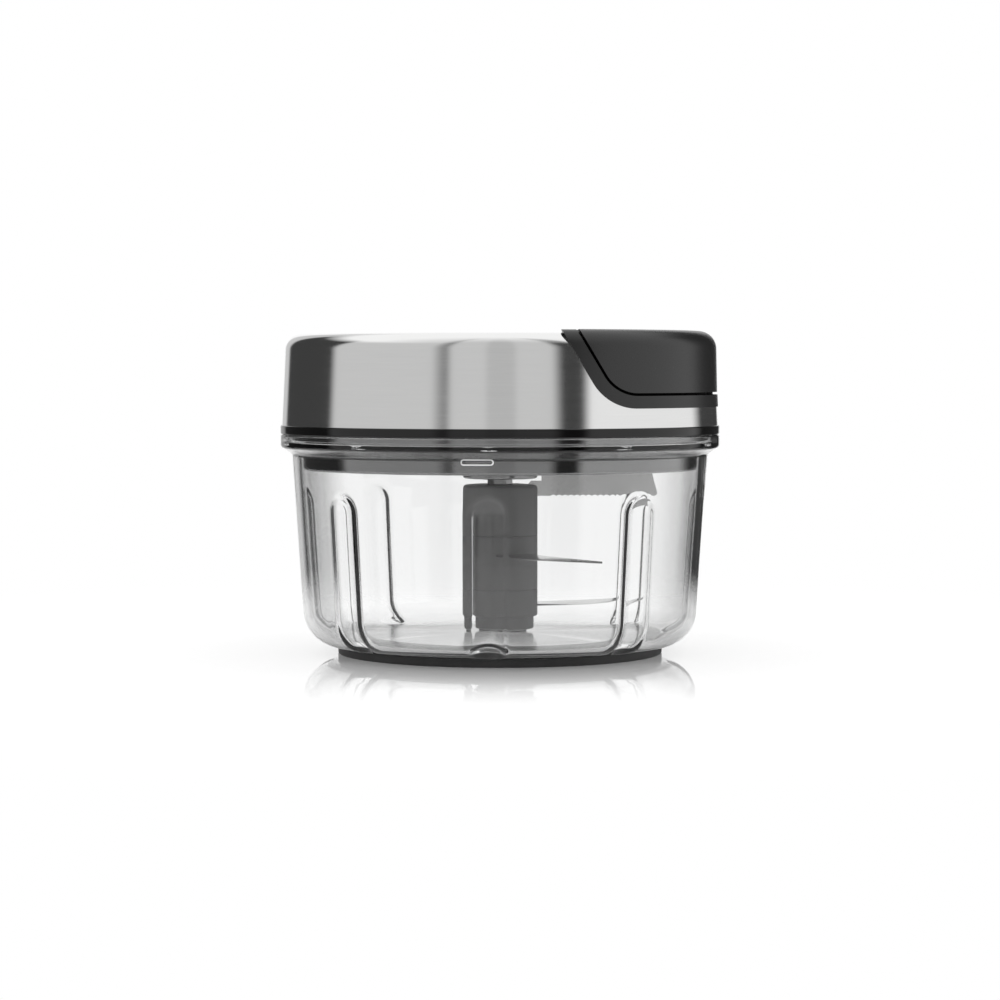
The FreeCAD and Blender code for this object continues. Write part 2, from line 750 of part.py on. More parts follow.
def make_sleeves(wing_blade, middle_blade, lower_blade):
    """Three outer sleeves over a blind core, cut where the blades come through."""
    upper = turned("upper_form", [
        ("0", "sleeve_middle_top"),
        ("sleeve_radius", "sleeve_middle_top"),
        ("sleeve_radius", "sleeve_top", "sleeve_rounding"),
        ("0", "sleeve_top")])
    core_seat = cylinder("core_seat", "core_radius", "sleeve_middle_top - overcut", "core_top")
    socket = hexagon("socket", "hex_flats + 2 * hex_gap", "socket_bottom", "sleeve_top + overcut")
    subpart(cut("upper_hollowed", upper, core_seat, socket, wing_blade), "blade_sleeve_upper")
    middle = ring("middle_form", "core_radius", "sleeve_radius", "sleeve_lower_top",
                  "sleeve_middle_top")
    subpart(cut("middle_slotted", middle, middle_blade), "blade_sleeve_middle")
    lower = turned("lower_form", [
        ("core_radius", "sleeve_bottom"),
        ("sleeve_foot_radius", "sleeve_bottom", "sleeve_rounding"),
        ("sleeve_foot_radius", "sleeve_foot_top"),
        ("sleeve_radius", "sleeve_foot_top", "sleeve_rounding / 2"),
        ("sleeve_radius", "sleeve_lower_top"),
        ("core_radius", "sleeve_lower_top")])
    subpart(cut("lower_slotted", lower, lower_blade), "blade_sleeve_lower")
    core_ceiling = "core_top - core_cap"
    subpart(turned("core_form", [
        ("core_bore", "sleeve_bottom"), ("core_radius", "sleeve_bottom"),
        ("core_radius", "core_top"), ("0", "core_top"),
        ("0", core_ceiling), ("core_bore", core_ceiling)]), "sleeve_core")
    subpart(ring("sleeve_bush_form", "pin_radius + running_gap", "core_bore", "sleeve_bottom",
                 "sleeve_bottom + sleeve_bush_length"), "sleeve_bush")


def make_blade_unit():
    middle = sickle("middle_blade", "middle_blade_height", "middle_blade_angle")
    lower = sickle("lower_blade", "lower_blade_height", "lower_blade_angle")
    make_sleeves(make_wing_blade(), middle, lower)


# Lid ----------------------------------------------------------------------------------------

def screw_pads(body, name, x, y, bottom, shank_length):
    """Head and shank of a screw that points up, as two pads of one body."""
    pads = []
    for kind, radius, length in (("head", "screw_head_radius", "screw_head_height"),
                                 ("shank", "screw_radius", shank_length)):
        sketch = new_sketch(body, f"{name}_{kind}", "XY_Plane", bottom)
        draw_circle(sketch, x, y, radius)
        pads.append(pad(body, f"{name}_{kind}_pad", sketch, length))
    return pads


def make_lid_screws():
    """Screws up through the lid's floor into the housing's posts, as one group."""
    body = new_body("lid_screws")
    body.AllowCompound = True
    pads = screw_pads(body, "lid_screw", "-lid_screw_circle", "0",
                      "lid_floor_underside - screw_head_height",
                      "screw_head_height + lid_screw_length")
    repeat_round(body, "lid_screw_pattern", pads, "lid_screw_count")
    subpart(body, "housing_screws")
    return body


def housing_posts():
    """Posts that the lid screws go into, each with a web to the housing's wall."""
    body = new_body("housing_posts")
    body.AllowCompound = True
    plan = new_sketch(body, "post_plan", "XY_Plane", "lid_floor_top")
    draw_circle(plan, "-lid_screw_circle", "0", "lid_boss_radius")
    post = pad(body, "post_pad", plan, "ceiling - lid_floor_top + housing_wall / 2")
    web_plan = new_sketch(body, "web_plan", "XY_Plane", "lid_flange_top")
    wall_middle = "-(cover_radius - housing_inset - housing_wall / 2)"
    draw_outline(web_plan, [
        ("-lid_screw_circle", "-lid_web_wall / 2"), ("-lid_screw_circle", "lid_web_wall / 2"),
        (wall_middle, "lid_web_wall / 2"), (wall_middle, "-lid_web_wall / 2")])
    web = pad(body, "web_pad", web_plan, "lid_web_height")
    repeat_round(body, "post_pattern", [post, web], "lid_screw_count")
    return body


def lid_form(name, inset, top):
    """The lid's outer form, a given distance inside the steel cover's surface."""
    return turned(name, [
        ("0", "lid_flange_top"),
        (f"cover_radius - ({inset})", "lid_flange_top"),
        (f"cover_top_radius - ({inset})", top, f"cover_rounding - ({inset})"),
        ("0", top)])


def handle_side(name, shift, height, rounding, thickness="3 * dock_radius"):
    """Everything on the handle's side of a line parallel to the dock's face."""
    corner_x = f"dock_corner_x + ({shift}) - dock_slope_ratio * (({height}) - dock_corner_height)"
    far = "dock_radius * 1.1"
    high = "dock_height * 1.1"
    return upright_slab(name, [
        (corner_x, height, rounding),
        (far, height),
        (far, high),
        (f"{corner_x} - dock_slope_ratio * ({high} - ({height}))", high)], thickness)


def past_dock(name, reach, thickness="3 * dock_radius"):
    """Everything on the handle's side of the dock's face, or of a line a reach in front of it."""
    return handle_side(name, f"dock_wall_x + ({reach}) * slope_stretch",
                       f"dock_corner_height + dock_wall + ({reach})",
                       f"dock_corner_radius - dock_wall - ({reach})", thickness)


def make_lid_base(screws):
    """Flange, centring step, skirt with its seal groove, floor and hub in one moulding."""
    form = turned("lid_base_form", [
        ("spindle_seal_radius", "hub_underside"),
        ("hub_radius", "hub_underside", "hub_rounding"),
        ("hub_radius", "lid_floor_underside"),
        ("skirt_inner", "lid_floor_underside"),
        ("skirt_inner", "skirt_bottom"),
        ("skirt_radius", "skirt_bottom", "skirt_rounding"),
        ("skirt_radius", "seal_bottom"),
        ("seal_groove_radius", "seal_bottom"),
        ("seal_groove_radius", "seal_top"),
        ("skirt_radius", "seal_top"),
        ("skirt_radius", "lid_step_bottom"),
        ("lid_step_radius", "lid_step_bottom"),
        ("lid_step_radius", "lid_flange_underside"),
        ("rim_radius", "lid_flange_underside", "rim_edge_rounding"),
        ("rim_radius", "lid_flange_top"),
        ("skirt_inner", "lid_flange_top"),
        ("skirt_inner", "lid_floor_top"),
        ("hub_radius", "lid_floor_top"),
        ("hub_radius", "hub_top"),
        ("bush_radius", "hub_top"),
        ("bush_radius", "spindle_seal_top"),
        ("spindle_seal_radius", "spindle_seal_top")])
    key = flat_slab("lid_key", [
        ("-key_width / 2", "-skirt_radius + skirt_wall / 2"),
        ("-key_width / 2", "-bowl_inner_neck + key_gap"),
        ("key_width / 2", "-bowl_inner_neck + key_gap"),
        ("key_width / 2", "-skirt_radius + skirt_wall / 2")],
        "lid_step_bottom - key_drop", "key_drop + (lid_flange_underside - lid_step_bottom) / 2")
    subpart(cut("lid_base_drilled", fuse("lid_base_whole", form, key), screws), "lid_base")
    subpart(ring("lid_seal_form", "seal_groove_radius", "skirt_radius + seal_proud",
                 "seal_bottom", "seal_top"), "lid_seal")
    subpart(ring("lower_bush_form", "bush_bore", "bush_radius", "spindle_seal_top", "hub_top"),
            "lower_bush")
    subpart(ring("spindle_seal_form", "bush_bore", "spindle_seal_radius", "hub_underside",
                 "spindle_seal_top"), "spindle_seal")


def make_lid_shells(screws):
    """Steel cover over a moulded housing, both cut away where the handle docks."""
    dock = handle_side("dock_room", "0", "dock_corner_height", "dock_corner_radius")
    cover = cut("cover_cut", lid_form("cover_outer", "0", "cover_height"),
                lid_form("cover_inner", "cover_wall", "cover_height - cover_wall"), dock)
    subpart(cover, "lid_cover")
    shell = cut("housing_shell", lid_form("housing_outer", "housing_inset", "housing_top"),
                lid_form("housing_inner", "housing_inset + housing_wall", "ceiling"))
    boss = cylinder("bush_boss", "housing_boss_radius", "housing_boss_bottom",
                    "ceiling + housing_wall / 2")
    bush_hole = cylinder("bush_hole", "bush_radius", "housing_boss_bottom - overcut", "ceiling")
    whole = fuse("housing_whole", shell, boss, housing_posts())
    subpart(cut("housing_cut", whole, dock, bush_hole, screws), "lid_housing")
    subpart(ring("upper_bush_form", "bush_bore", "bush_radius", "housing_boss_bottom",
                 "ceiling"), "upper_bush")


def dock_ribs():
    """Two ribs up the dock's face and along its shelf, which the handle's grooves slide over."""
    room = cylinder("rib_room", "rib_radius", "dock_corner_height", "handle_ceiling - rib_gap")
    ribs = []
    for number, y in enumerate(("rib_offset", "-rib_offset")):
        block = past_dock(f"rib_block{number}", "-dock_wall / 2", "rib_width")
        front = past_dock(f"rib_front{number}", "rib_reach", "rib_width * 2")
        rib = cut(f"rib_form{number}", block, front)
        place(block, y=y)
        place(front, y=y)
        doc.recompute()
        ribs.append(common(f"rib{number}_", rib, room))
    return ribs


def make_dock():
    """Sloping wall and shelf that the handle rests against, with the cord's eyelet in it."""
    round_form = turned("dock_round", [
        ("0", "lid_flange_top"), ("dock_radius", "lid_flange_top"),
        ("dock_radius - cover_draft", "dock_height", "cover_rounding"), ("0", "dock_height")])
    near = handle_side("dock_near", "0", "dock_corner_height", "dock_corner_radius")
    far = past_dock("dock_far", "0")
    boss = cord_cylinder("eyelet_boss", "eyelet_radius + eyelet_boss_wall", "eyelet_seat_x",
                         "eyelet_end + dock_wall_x")
    solid = fuse("dock_with_boss", common("dock_block", round_form, near), boss)
    hole = cord_cylinder("eyelet_hole", "eyelet_radius", "0", "dock_radius")
    wall = cut("dock_wall_cut", solid, far, hole)
    subpart(fuse("dock_whole", wall, *dock_ribs()), "handle_dock")
    eyelet = turned("eyelet_form", [
        ("eyelet_head_x", "eyelet_bore", "eyelet_rounding"),
        ("eyelet_end", "eyelet_bore"),
        ("eyelet_end", "eyelet_radius"),
        ("eyelet_seat_x", "eyelet_radius"),
        ("eyelet_seat_x", "eyelet_head_radius"),
        ("eyelet_head_x", "eyelet_head_radius", "eyelet_rounding")], axis="H_Axis")
    place(eyelet, z="cord_height")
    subpart(eyelet, "cord_eyelet")


# Return spring, drum and spindle ------------------------------------------------------------

def half_turn(centre_x, radius, side):
    """Half circle from one side of its centre to the other."""
    centre = Vector(centre_x, 0, 0)
    return Part.Arc(centre + Vector(side * radius, 0, 0), centre + Vector(0, side * radius, 0),
                    centre - Vector(side * radius, 0, 0)).toShape()


def wound_strip():
    """Flat strip wound in half turns, each half a pitch wider than the last."""
    step = value("spring_pitch") / 2
    thickness = value("spring_strip")
    inside = []
    outside = []
    for number in range(2 * int(value("spring_turns"))):
        radius = value("spring_inner_radius") + number * step
        centre_x, side = (step, -1) if number % 2 else (0, 1)
        inside.append(half_turn(centre_x, radius, side))
        outside.append(half_turn(centre_x, radius + thickness, side))
    ends = [Part.makeLine(inside[edge].Vertexes[edge].Point, outside[edge].Vertexes[edge].Point)
            for edge in (0, -1)]
    outline = Part.Wire(Part.__sortEdges__(inside + outside + ends))
    return Part.Face(outline).extrude(Vector(0, 0, value("spring_width")))


def make_spring():
    subpart(turned("spring_case_form", [
        ("spring_case_inner", "lid_floor_top"),
        ("spring_case_radius", "lid_floor_top"),
        ("spring_case_radius", "spring_case_top", "spring_case_rounding"),
        ("drum_hub_radius + spring_hole_gap", "spring_case_top"),
        ("drum_hub_radius + spring_hole_gap", "spring_ceiling"),
        ("spring_case_inner", "spring_ceiling")]), "spring_housing")
    spring = doc.addObject("Part::Feature", "spring_form")
    spring.Shape = wound_strip()
    spring.Placement = Placement(Vector(0, 0, value("spring_bottom")), Rotation())
    subpart(spring, "recoil_spring")


def make_drum():
    """Cord drum on the drive spindle, with the clip above it."""
    deck_bottom = "drum_deck - drum_flange_wall"
    subpart(turned("drum_form", [
        ("spindle_radius", "drum_bottom"), ("drum_hub_radius", "drum_bottom"),
        ("drum_hub_radius", deck_bottom), ("drum_flange_radius", deck_bottom),
        ("drum_flange_radius", "drum_deck"), ("drum_core_radius", "drum_deck"),
        ("drum_core_radius", "drum_ceiling"), ("drum_flange_radius", "drum_ceiling"),
        ("drum_flange_radius", "drum_top"), ("spindle_radius", "drum_top")]), "cord_drum")
    subpart(ring("winding_form", "drum_core_radius", "winding_radius", "drum_deck",
                 "drum_ceiling"), "cord_winding")
    clip_top = "drum_top + clip_thickness"
    spindle_top = "ceiling - spindle_top_gap"
    shaft = turned("spindle_shaft", [
        ("0", "hex_top"), ("spindle_radius", "hex_top"),
        ("spindle_radius", "drum_top"), ("clip_groove_radius", "drum_top"),
        ("clip_groove_radius", clip_top), ("spindle_radius", clip_top),
        ("spindle_radius", spindle_top), ("0", spindle_top)])
    drive_end = hexagon("spindle_hex", "hex_flats", "hex_bottom", "hex_top")
    subpart(fuse("spindle_whole", shaft, drive_end), "drive_spindle")
    clip = ring("clip_ring", "clip_groove_radius", "clip_radius", "drum_top", clip_top)
    mouth = upright_slab("clip_mouth", [
        ("0", "drum_top - overcut"), ("clip_radius * 2", "drum_top - overcut"),
        ("clip_radius * 2", f"{clip_top} + overcut"), ("0", f"{clip_top} + overcut")],
        "clip_groove_radius * 1.8")
    subpart(cut("clip_open", clip, mouth), "retaining_clip")


# Cord ---------------------------------------------------------------------------------------

def cord_route():
    """Straight off the drum, one bend round the eyelet's mouth, and along X to its far end."""
    height = value("cord_height")
    bend_x = value("cord_bend_x")
    leave = math.acos(value("run_radius") / bend_x)
    start = Vector(math.cos(leave), -math.sin(leave), 0) * value("run_radius")
    start.z = height
    corner = Vector(bend_x, 0, height)
    end = Vector(value("eyelet_end - cord_gap"), 0, height)
    entry, centre, leaving = corner_ends(start, corner, end, value("cord_bend_radius"))
    middle = centre + (corner - centre).normalize() * value("cord_bend_radius")
    print("cord bend radius", value("cord_bend_radius"))
    return Part.Wire([Part.makeLine(start, entry), Part.Arc(entry, middle, leaving).toShape(),
                      Part.makeLine(leaving, end)])


def make_cord():
    """Cord from the drum through the eyelet to its stop in the handle."""
    route = cord_route()
    first = route.Edges[0]
    start = first.Vertexes[0].Point
    section = Part.Wire(Part.makeCircle(value("cord_radius"), start, first.tangentAt(0)))
    run = doc.addObject("Part::Feature", "run_form")
    run.Shape = route.makePipeShell([section], True, True)
    ideal = math.pi * value("cord_radius") ** 2 * route.Length
    print("cord run volume", round(run.Shape.Volume, 2), "and section by length", round(ideal, 2))
    subpart(run, "cord_run")
    subpart(cord_cylinder("tail_form", "cord_radius", "eyelet_end", "anchor_end"), "cord_tail")
    anchor = turned("anchor_form", [
        ("anchor_start", "cord_radius"), ("anchor_end", "cord_radius"),
        ("anchor_end", "cord_radius + anchor_wall", "anchor_rounding"),
        ("anchor_start", "cord_radius + anchor_wall", "anchor_rounding")], axis="H_Axis")
    place(anchor, z="cord_height")
    subpart(anchor, "cord_anchor")


# Handle -------------------------------------------------------------------------------------

def make_handle_screws():
    """Two screws up through the handle's floor, as one group."""
    body = new_body("handle_screw_pair")
    body.AllowCompound = True
    pads = screw_pads(body, "handle_screw", "handle_screw_x", "-handle_screw_offset",
                      "handle_bottom", "handle_screw_length")
    mirror = body.newObject("PartDesign::Mirrored", "handle_screw_mirror")
    mirror.Originals = pads
    mirror.MirrorPlane = (origin_feature(body, "XZ_Plane"), [""])
    body.Tip = mirror
    doc.recompute()
    subpart(body, "handle_screws")
    return body


def rib_grooves():
    """Room in the handle's back and floor for the dock's ribs."""
    grooves = []
    for number, y in enumerate(("rib_offset", "-rib_offset")):
        block = past_dock(f"groove_block{number}", "0", "rib_width + 2 * rib_gap")
        front = past_dock(f"groove_front{number}", "rib_reach + rib_gap", "rib_width * 3")
        groove = cut(f"groove{number}_", block, front)
        place(block, y=y)
        place(front, y=y)
        doc.recompute()
        grooves.append(groove)
    return grooves


def make_handle():
    """Hollow handle: a rounded shell closed by a sloping back and a floor in one piece."""
    screws = make_handle_screws()
    outer = turned("handle_outer", [
        ("0", "lid_flange_top"), ("handle_radius", "lid_flange_top"),
        ("handle_top_radius", "handle_height", "handle_rounding"), ("0", "handle_height")])
    inner = turned("handle_inner", [
        ("0", "lid_flange_top"), ("handle_radius - handle_wall", "lid_flange_top"),
        ("handle_top_radius - handle_wall", "handle_ceiling", "handle_rounding - handle_wall"),
        ("0", "handle_ceiling")])
    grip = past_dock("handle_room", "handle_gap")
    hollow = past_dock("handle_hollow", "handle_gap + handle_wall")
    skin = common("handle_skin", cut("handle_dome", outer, inner), grip)
    posts = [cylinder(f"handle_post{number}", "handle_boss_radius", "handle_floor",
                      "handle_ceiling + handle_wall / 2", "handle_screw_x", y)
             for number, y in enumerate(("handle_screw_offset", "-handle_screw_offset"))]
    subpart(cut("shell_drilled", fuse("shell_whole", skin, *posts), screws), "handle_shell")
    plates = cut("handle_plates", common("handle_core", inner, grip), hollow)
    boss = common("anchor_boss", cord_cylinder("anchor_boss_bar", "anchor_boss_radius",
                                               "eyelet_end", "anchor_start"), grip)
    hole = cord_cylinder("cord_hole", "cord_radius + cord_hole_gap", "0", "dock_radius")
    back = cut("back_grooved", fuse("back_whole", plates, boss), *rib_grooves())
    subpart(cut("back_drilled", back, hole, screws), "handle_back")


# Whole chopper ------------------------------------------------------------------------------

def make_chopper():
    fill_sheet()
    make_bowl()
    make_blade_unit()
    screws = make_lid_screws()
    make_lid_base(screws)
    make_lid_shells(screws)
    make_dock()
    make_spring()
    make_drum()
    make_cord()
    make_handle()
    doc.recompute()


def check_model():
    """Stop if any object failed or any sub-part has no sound shape."""
    for item in doc.Objects:
        if "Invalid" in item.State or "Error" in item.State:
            raise RuntimeError(f"{item.Name} failed: {item.State}")
    for item in subparts:
        if item.Shape.isNull() or not item.Shape.isValid():
            raise RuntimeError(f"{item.Label} has no valid shape")


def write_parts():
    os.makedirs("parts", exist_ok=True)
    for item in subparts:
        item.Shape.exportStep(f"parts/{item.Label}.step")
        print(item.Label, round(item.Shape.Volume, 1), "mm3 in", len(item.Shape.Solids), "solid(s)")


make_chopper()
check_model()
write_parts()
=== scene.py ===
"""Looks of a pull-cord food chopper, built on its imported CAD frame.

Lengths are in metres. The origin is the middle of the foot ring's underside, +Z is up and +X is
the way that the handle is pulled. Sizes that the frame holds are read from it, and the others
are the defaults of the property groups.
"""

import json
import math

import bpy
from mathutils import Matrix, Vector


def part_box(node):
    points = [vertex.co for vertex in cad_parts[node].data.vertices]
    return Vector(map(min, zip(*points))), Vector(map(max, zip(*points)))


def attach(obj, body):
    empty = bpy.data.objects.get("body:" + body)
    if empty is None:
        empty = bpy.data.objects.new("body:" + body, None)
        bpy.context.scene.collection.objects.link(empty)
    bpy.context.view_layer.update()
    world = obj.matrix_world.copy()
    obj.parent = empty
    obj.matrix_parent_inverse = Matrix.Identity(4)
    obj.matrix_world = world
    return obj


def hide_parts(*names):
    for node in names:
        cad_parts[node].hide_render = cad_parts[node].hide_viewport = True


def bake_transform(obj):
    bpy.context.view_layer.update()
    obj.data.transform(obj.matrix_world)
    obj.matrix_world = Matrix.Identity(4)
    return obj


bl_info = {
    "name": "Food Chopper",
    "version": (1, 0, 0),
    "blender": (4, 5, 0),
    "location": "View3D > Sidebar > Chopper",
    "description": "Builds a clear-bowled food chopper with a steel lid and a pull handle",
    "category": "Add Mesh",
}

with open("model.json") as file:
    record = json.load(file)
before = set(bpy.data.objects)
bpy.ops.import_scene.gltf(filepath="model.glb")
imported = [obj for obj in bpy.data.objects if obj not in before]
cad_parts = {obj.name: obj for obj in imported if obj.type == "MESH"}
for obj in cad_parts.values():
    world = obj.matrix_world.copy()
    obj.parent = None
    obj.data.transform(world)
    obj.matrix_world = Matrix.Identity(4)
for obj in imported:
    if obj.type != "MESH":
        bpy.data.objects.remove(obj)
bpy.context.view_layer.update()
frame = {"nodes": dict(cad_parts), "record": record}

MERGE = 2e-6
SMOOTH_ANGLE = math.radians(32)


def top(node):
    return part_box(node)[1][2]


def bottom(node):
    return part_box(node)[0][2]


def reach(node):
    """How far a round node reaches from the axis."""
    low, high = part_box(node)
    return max(high[1], -low[1])


# Sizes and colours --------------------------------------------------------------------------

# register() names each property after its attribute, so that rim_radius reads Rim radius

def size(words, default):
    return bpy.props.FloatProperty(description=words, default=default, min=0.0, unit="LENGTH",
                                   precision=5)


def angle(words, degrees):
    return bpy.props.FloatProperty(description=words, default=math.radians(degrees),
                                   unit="ROTATION", subtype="ANGLE")


def tint(words, default):
    return bpy.props.FloatVectorProperty(description=words, default=default, size=3, min=0.0,
                                         max=1.0, subtype="COLOR")


class BowlSizes(bpy.types.PropertyGroup):
    rim_radius: size("Outside of the bowl's rim", reach("bowl"))
    rim_height: size("Top of the bowl's rim", top("bowl"))
    rim_depth: size("Height of the rim's outer face", 0.0037)
    rim_wall: size("Thickness of the rim", 0.0021)
    overhang: size("How far the rim stands out from the neck", 0.0035)
    ledge_drop: size("Fall of the ledge under the rim", 0.0022)
    underside: size("Height of the bowl's underside", bottom("bowl"))
    wall: size("Thickness of the bowl's wall", 0.0024)
    floor_wall: size("Thickness of the bowl's floor", 0.0028)
    corner: size("Rounding of the lower corner", 0.011)
    draft: size("How much narrower the foot is than the neck", 0.0038)
    rounding: size("Rounding of the neck and the rim's lower edge", 0.0013)
    edge: size("Rounding of the rim's top edge", 0.0005)
    flute_radius: size("Radius of a flute's round section", 0.007)
    flute_depth: size("How deep a flute goes into the wall", 0.0019)
    flute_margin: size("From the neck down to a flute's top", 0.0096)
    flute_edge: size("Softness of a flute's edges", 0.0005)
    flute_turn: angle("Turn of the first flute from the front", 3.5)
    flute_end: angle("Where a flute ends on the lower corner", 32)
    mark_width: size("Width of the raised bar on the neck", 0.0094)
    mark_height: size("Height of the raised bar on the neck", 0.00175)
    mark_proud: size("How far the raised bar stands out", 0.0005)
    mark_drop: size("From the neck down to the bar's middle", 0.0008)
    mark_turn: angle("Turn of the bar from the front", 5.9)
    ring_radius: size("Outside of the foot ring", reach("base_ring"))
    ring_width: size("Width of the foot ring", 0.006)
    ring_top: size("Top of the foot ring, just inside its seat", bottom("bowl") + 0.0004)
    collar_radius: size("Radius of the collar at the pin's foot", 0.008)
    collar_height: size("Height of the collar above the floor", 0.0008)
    pin_radius: size("Radius of the pivot pin", reach("pivot_pin"))


class BladeSizes(bpy.types.PropertyGroup):
    sleeve_radius: size("Outside of the sleeves", reach("blade_sleeve_middle"))
    foot_radius: size("Outside of the lower sleeve's foot", 0.0102)
    foot_height: size("Height of the lower sleeve's foot", 0.0049)
    rounding: size("Rounding of the sleeve unit's ends", 0.0012)
    seam: size("Chamfer at the joint lines between sleeves", 0.00025)
    core_radius: size("Outside of the core tube", reach("sleeve_core"))
    socket_radius: size("Opening for the drive spindle", 0.0041)
    socket_floor: size("Thickness under the spindle's socket", 0.0013)
    reach: size("How far the lower blades reach", 0.052)
    width: size("Width of the lower blades", 0.0125)
    ground: size("Width of the ground cutting edge", 0.00315)
    run_in: size("Length over which the ground edge starts", 0.006)
    eye_wall: size("Wall of a blade's eye round the core", 0.003)
    plate: size("Thickness of the lower blades", 0.0006)
    edge: size("Thickness left at the cutting edge", 0.00015)
    middle_turn: angle("Turn of the middle blade", -60)
    lower_turn: angle("Turn of the lower blade", 26)


class LidSizes(bpy.types.PropertyGroup):
    flange_radius: size("Outside of the lid's flange", reach("lid_base"))
    flange_bottom: size("Underside of the flange", top("lid_base") - 0.0027)
    flange_top: size("Top of the flange", top("lid_base"))
    step_radius: size("Outside of the centring step", 0.0636)
    step_height: size("Height of the centring step", 0.00199)
    skirt_radius: size("Outside of the skirt", 0.0598)
    skirt_wall: size("Thickness of the skirt", 0.0024)
    skirt_depth: size("From the flange down to the skirt's edge", 0.0106)
    floor_recess: size("From the skirt's edge up to the floor", 0.0018)
    floor_wall: size("Thickness of the floor", 0.002)
    hub_radius: size("Outside of the hub under the floor", 0.0114)
    hub_bottom: size("Underside of the hub", bottom("lid_base"))
    hub_rounding: size("Rounding of the hub's lower edge", 0.0005)
    seal_radius: size("Outside of the seal ring", reach("lid_seal"))
    seal_bottom: size("Underside of the seal ring", bottom("lid_seal"))
    seal_top: size("Top of the seal ring", top("lid_seal"))
    groove_depth: size("Depth of the seal's groove", 0.0009)
    key_width: size("Width of the key behind the rim", 0.0056)
    key_drop: size("From the step down to the key's edge", 0.0019)
    key_reach: size("From the axis to the key's face", 0.0603)
    cover_radius: size("Foot of the steel cover", reach("lid_cover"))
    cover_draft: size("How much narrower the cover's top is", 0.0013)
    cover_top: size("Top of the steel cover", top("lid_cover"))
    cover_rounding: size("Rounding of the cover's top edge", 0.0047)
    cover_wall: size("Thickness of the steel", 0.0007)


class HandleSizes(bpy.types.PropertyGroup):
    corner_x: size("Where the dock's two faces would meet", 0.031)
    corner_z: size("Height of the dock's shelf", bottom("handle_dock"))
    slope: bpy.props.FloatProperty(description="Run of the face for each rise", default=0.6)
    bend: size("Radius of the curve between face and shelf", 0.0153)
    trim: size("Thickness of the dock's wall", 0.0036)
    gap: size("Gap between dock and handle", 0.0008)
    dock_radius: size("Outside of the dock's wall", reach("lid_cover") + 0.00025)
    dock_top: size("Top of the dock's wall", top("handle_dock"))
    lip: size("Width of the lip on the dock's top", 0.008)
    lip_end: size("From the dock's edge to the end of the lip's slope", 0.02)
    grip_radius: size("Outside of the handle", reach("lid_cover") - 0.0001)
    grip_top: size("Top of the handle", top("handle_shell"))
    grip_rounding: size("Rounding of the handle's top edge", 0.0054)
    grip_draft: size("How much narrower the handle's top is", 0.0006)
    grip_wall: size("Wall of the handle", 0.0024)
    rib_offset: size("From the cord to a rib of the dock", 0.01)
    rib_width: size("Width of a rib", 0.0016)
    rib_reach: size("How far a rib stands out of the dock", 0.0017)
    rib_gap: size("Gap round a rib in its groove", 0.0003)
    stop_start: size("Where the shelf's middle rib starts", 0.045)
    stop_inset: size("From the grip's outside to the middle rib's end", 0.0014)
    stop_room: size("How far up the shelf the middle rib may reach", 0.01)
    stop_reach: size("How far the middle rib stands out of the dock", 0.00076)


class CordSizes(bpy.types.PropertyGroup):
    radius: size("Radius of the pull cord", 0.001)
    height: size("Height of the cord's line", (top("cord_tail") + bottom("cord_tail")) / 2)
    hole: size("Radius of the hole in the handle's back", 0.0014)
    eyelet_radius: size("Outside of the eyelet", 0.003)
    hole_reach: size("How far from the axis the cord's holes are cut", 0.06)


class FinishColours(bpy.types.PropertyGroup):
    clear: tint("Clear moulding of the bowl", (0.97, 0.972, 0.972))
    steel: tint("Brushed steel of the lid", (0.88, 0.88, 0.875))
    blade: tint("Ground steel of the blades", (0.62, 0.62, 0.615))
    grip: tint("Satin moulding of the handle", (0.005, 0.005, 0.005))
    trim: tint("Satin moulding of the dock", (0.012, 0.012, 0.012))
    gloss: tint("Polished moulding of the lid's base", (0.003, 0.003, 0.003))
    sleeve: tint("Moulding of the blade sleeves", (0.12, 0.12, 0.12))
    rubber: tint("Foot ring and seals", (0.02, 0.02, 0.02))
    cord: tint("Braided pull cord", (0.72, 0.72, 0.7))
    plastic: tint("Natural moulding of the drum and its case", (0.6, 0.6, 0.57))
    brass: tint("Turned brass of the bushes", (0.72, 0.53, 0.27))
    eyelet: tint("Polished metal of the cord's eyelet", (0.75, 0.75, 0.75))


class StageSizes(bpy.types.PropertyGroup):
    camera_distance: size("From the axis to the camera", 0.897)
    camera_height: size("Height of the camera", 0.087)
    camera_tilt: angle("How far the camera looks down", 2.6)
    lens: bpy.props.FloatProperty(description="Focal length", default=106.3, unit="CAMERA")
    floor_side: size("Side of the floor", 0.6)
    floor_colour: tint("Matte colour of the floor", (0.85, 0.85, 0.85))
    mirror: bpy.props.FloatProperty(description="Floor's gloss at the object", default=0.65,
                                    min=0.0, max=1.0)
    mirror_start: size("Where the floor's gloss starts to fade", 0.05)
    mirror_end: size("Where the floor's gloss has faded", 0.165)


# Meshes -------------------------------------------------------------------------------------

def arc(centre, radius, start, end, steps):
    """Points along an arc, from one angle to another in degrees."""
    angles = [math.radians(start + (end - start) * i / steps) for i in range(steps + 1)]
    return [(centre[0] + radius * math.cos(a), centre[1] + radius * math.sin(a)) for a in angles]


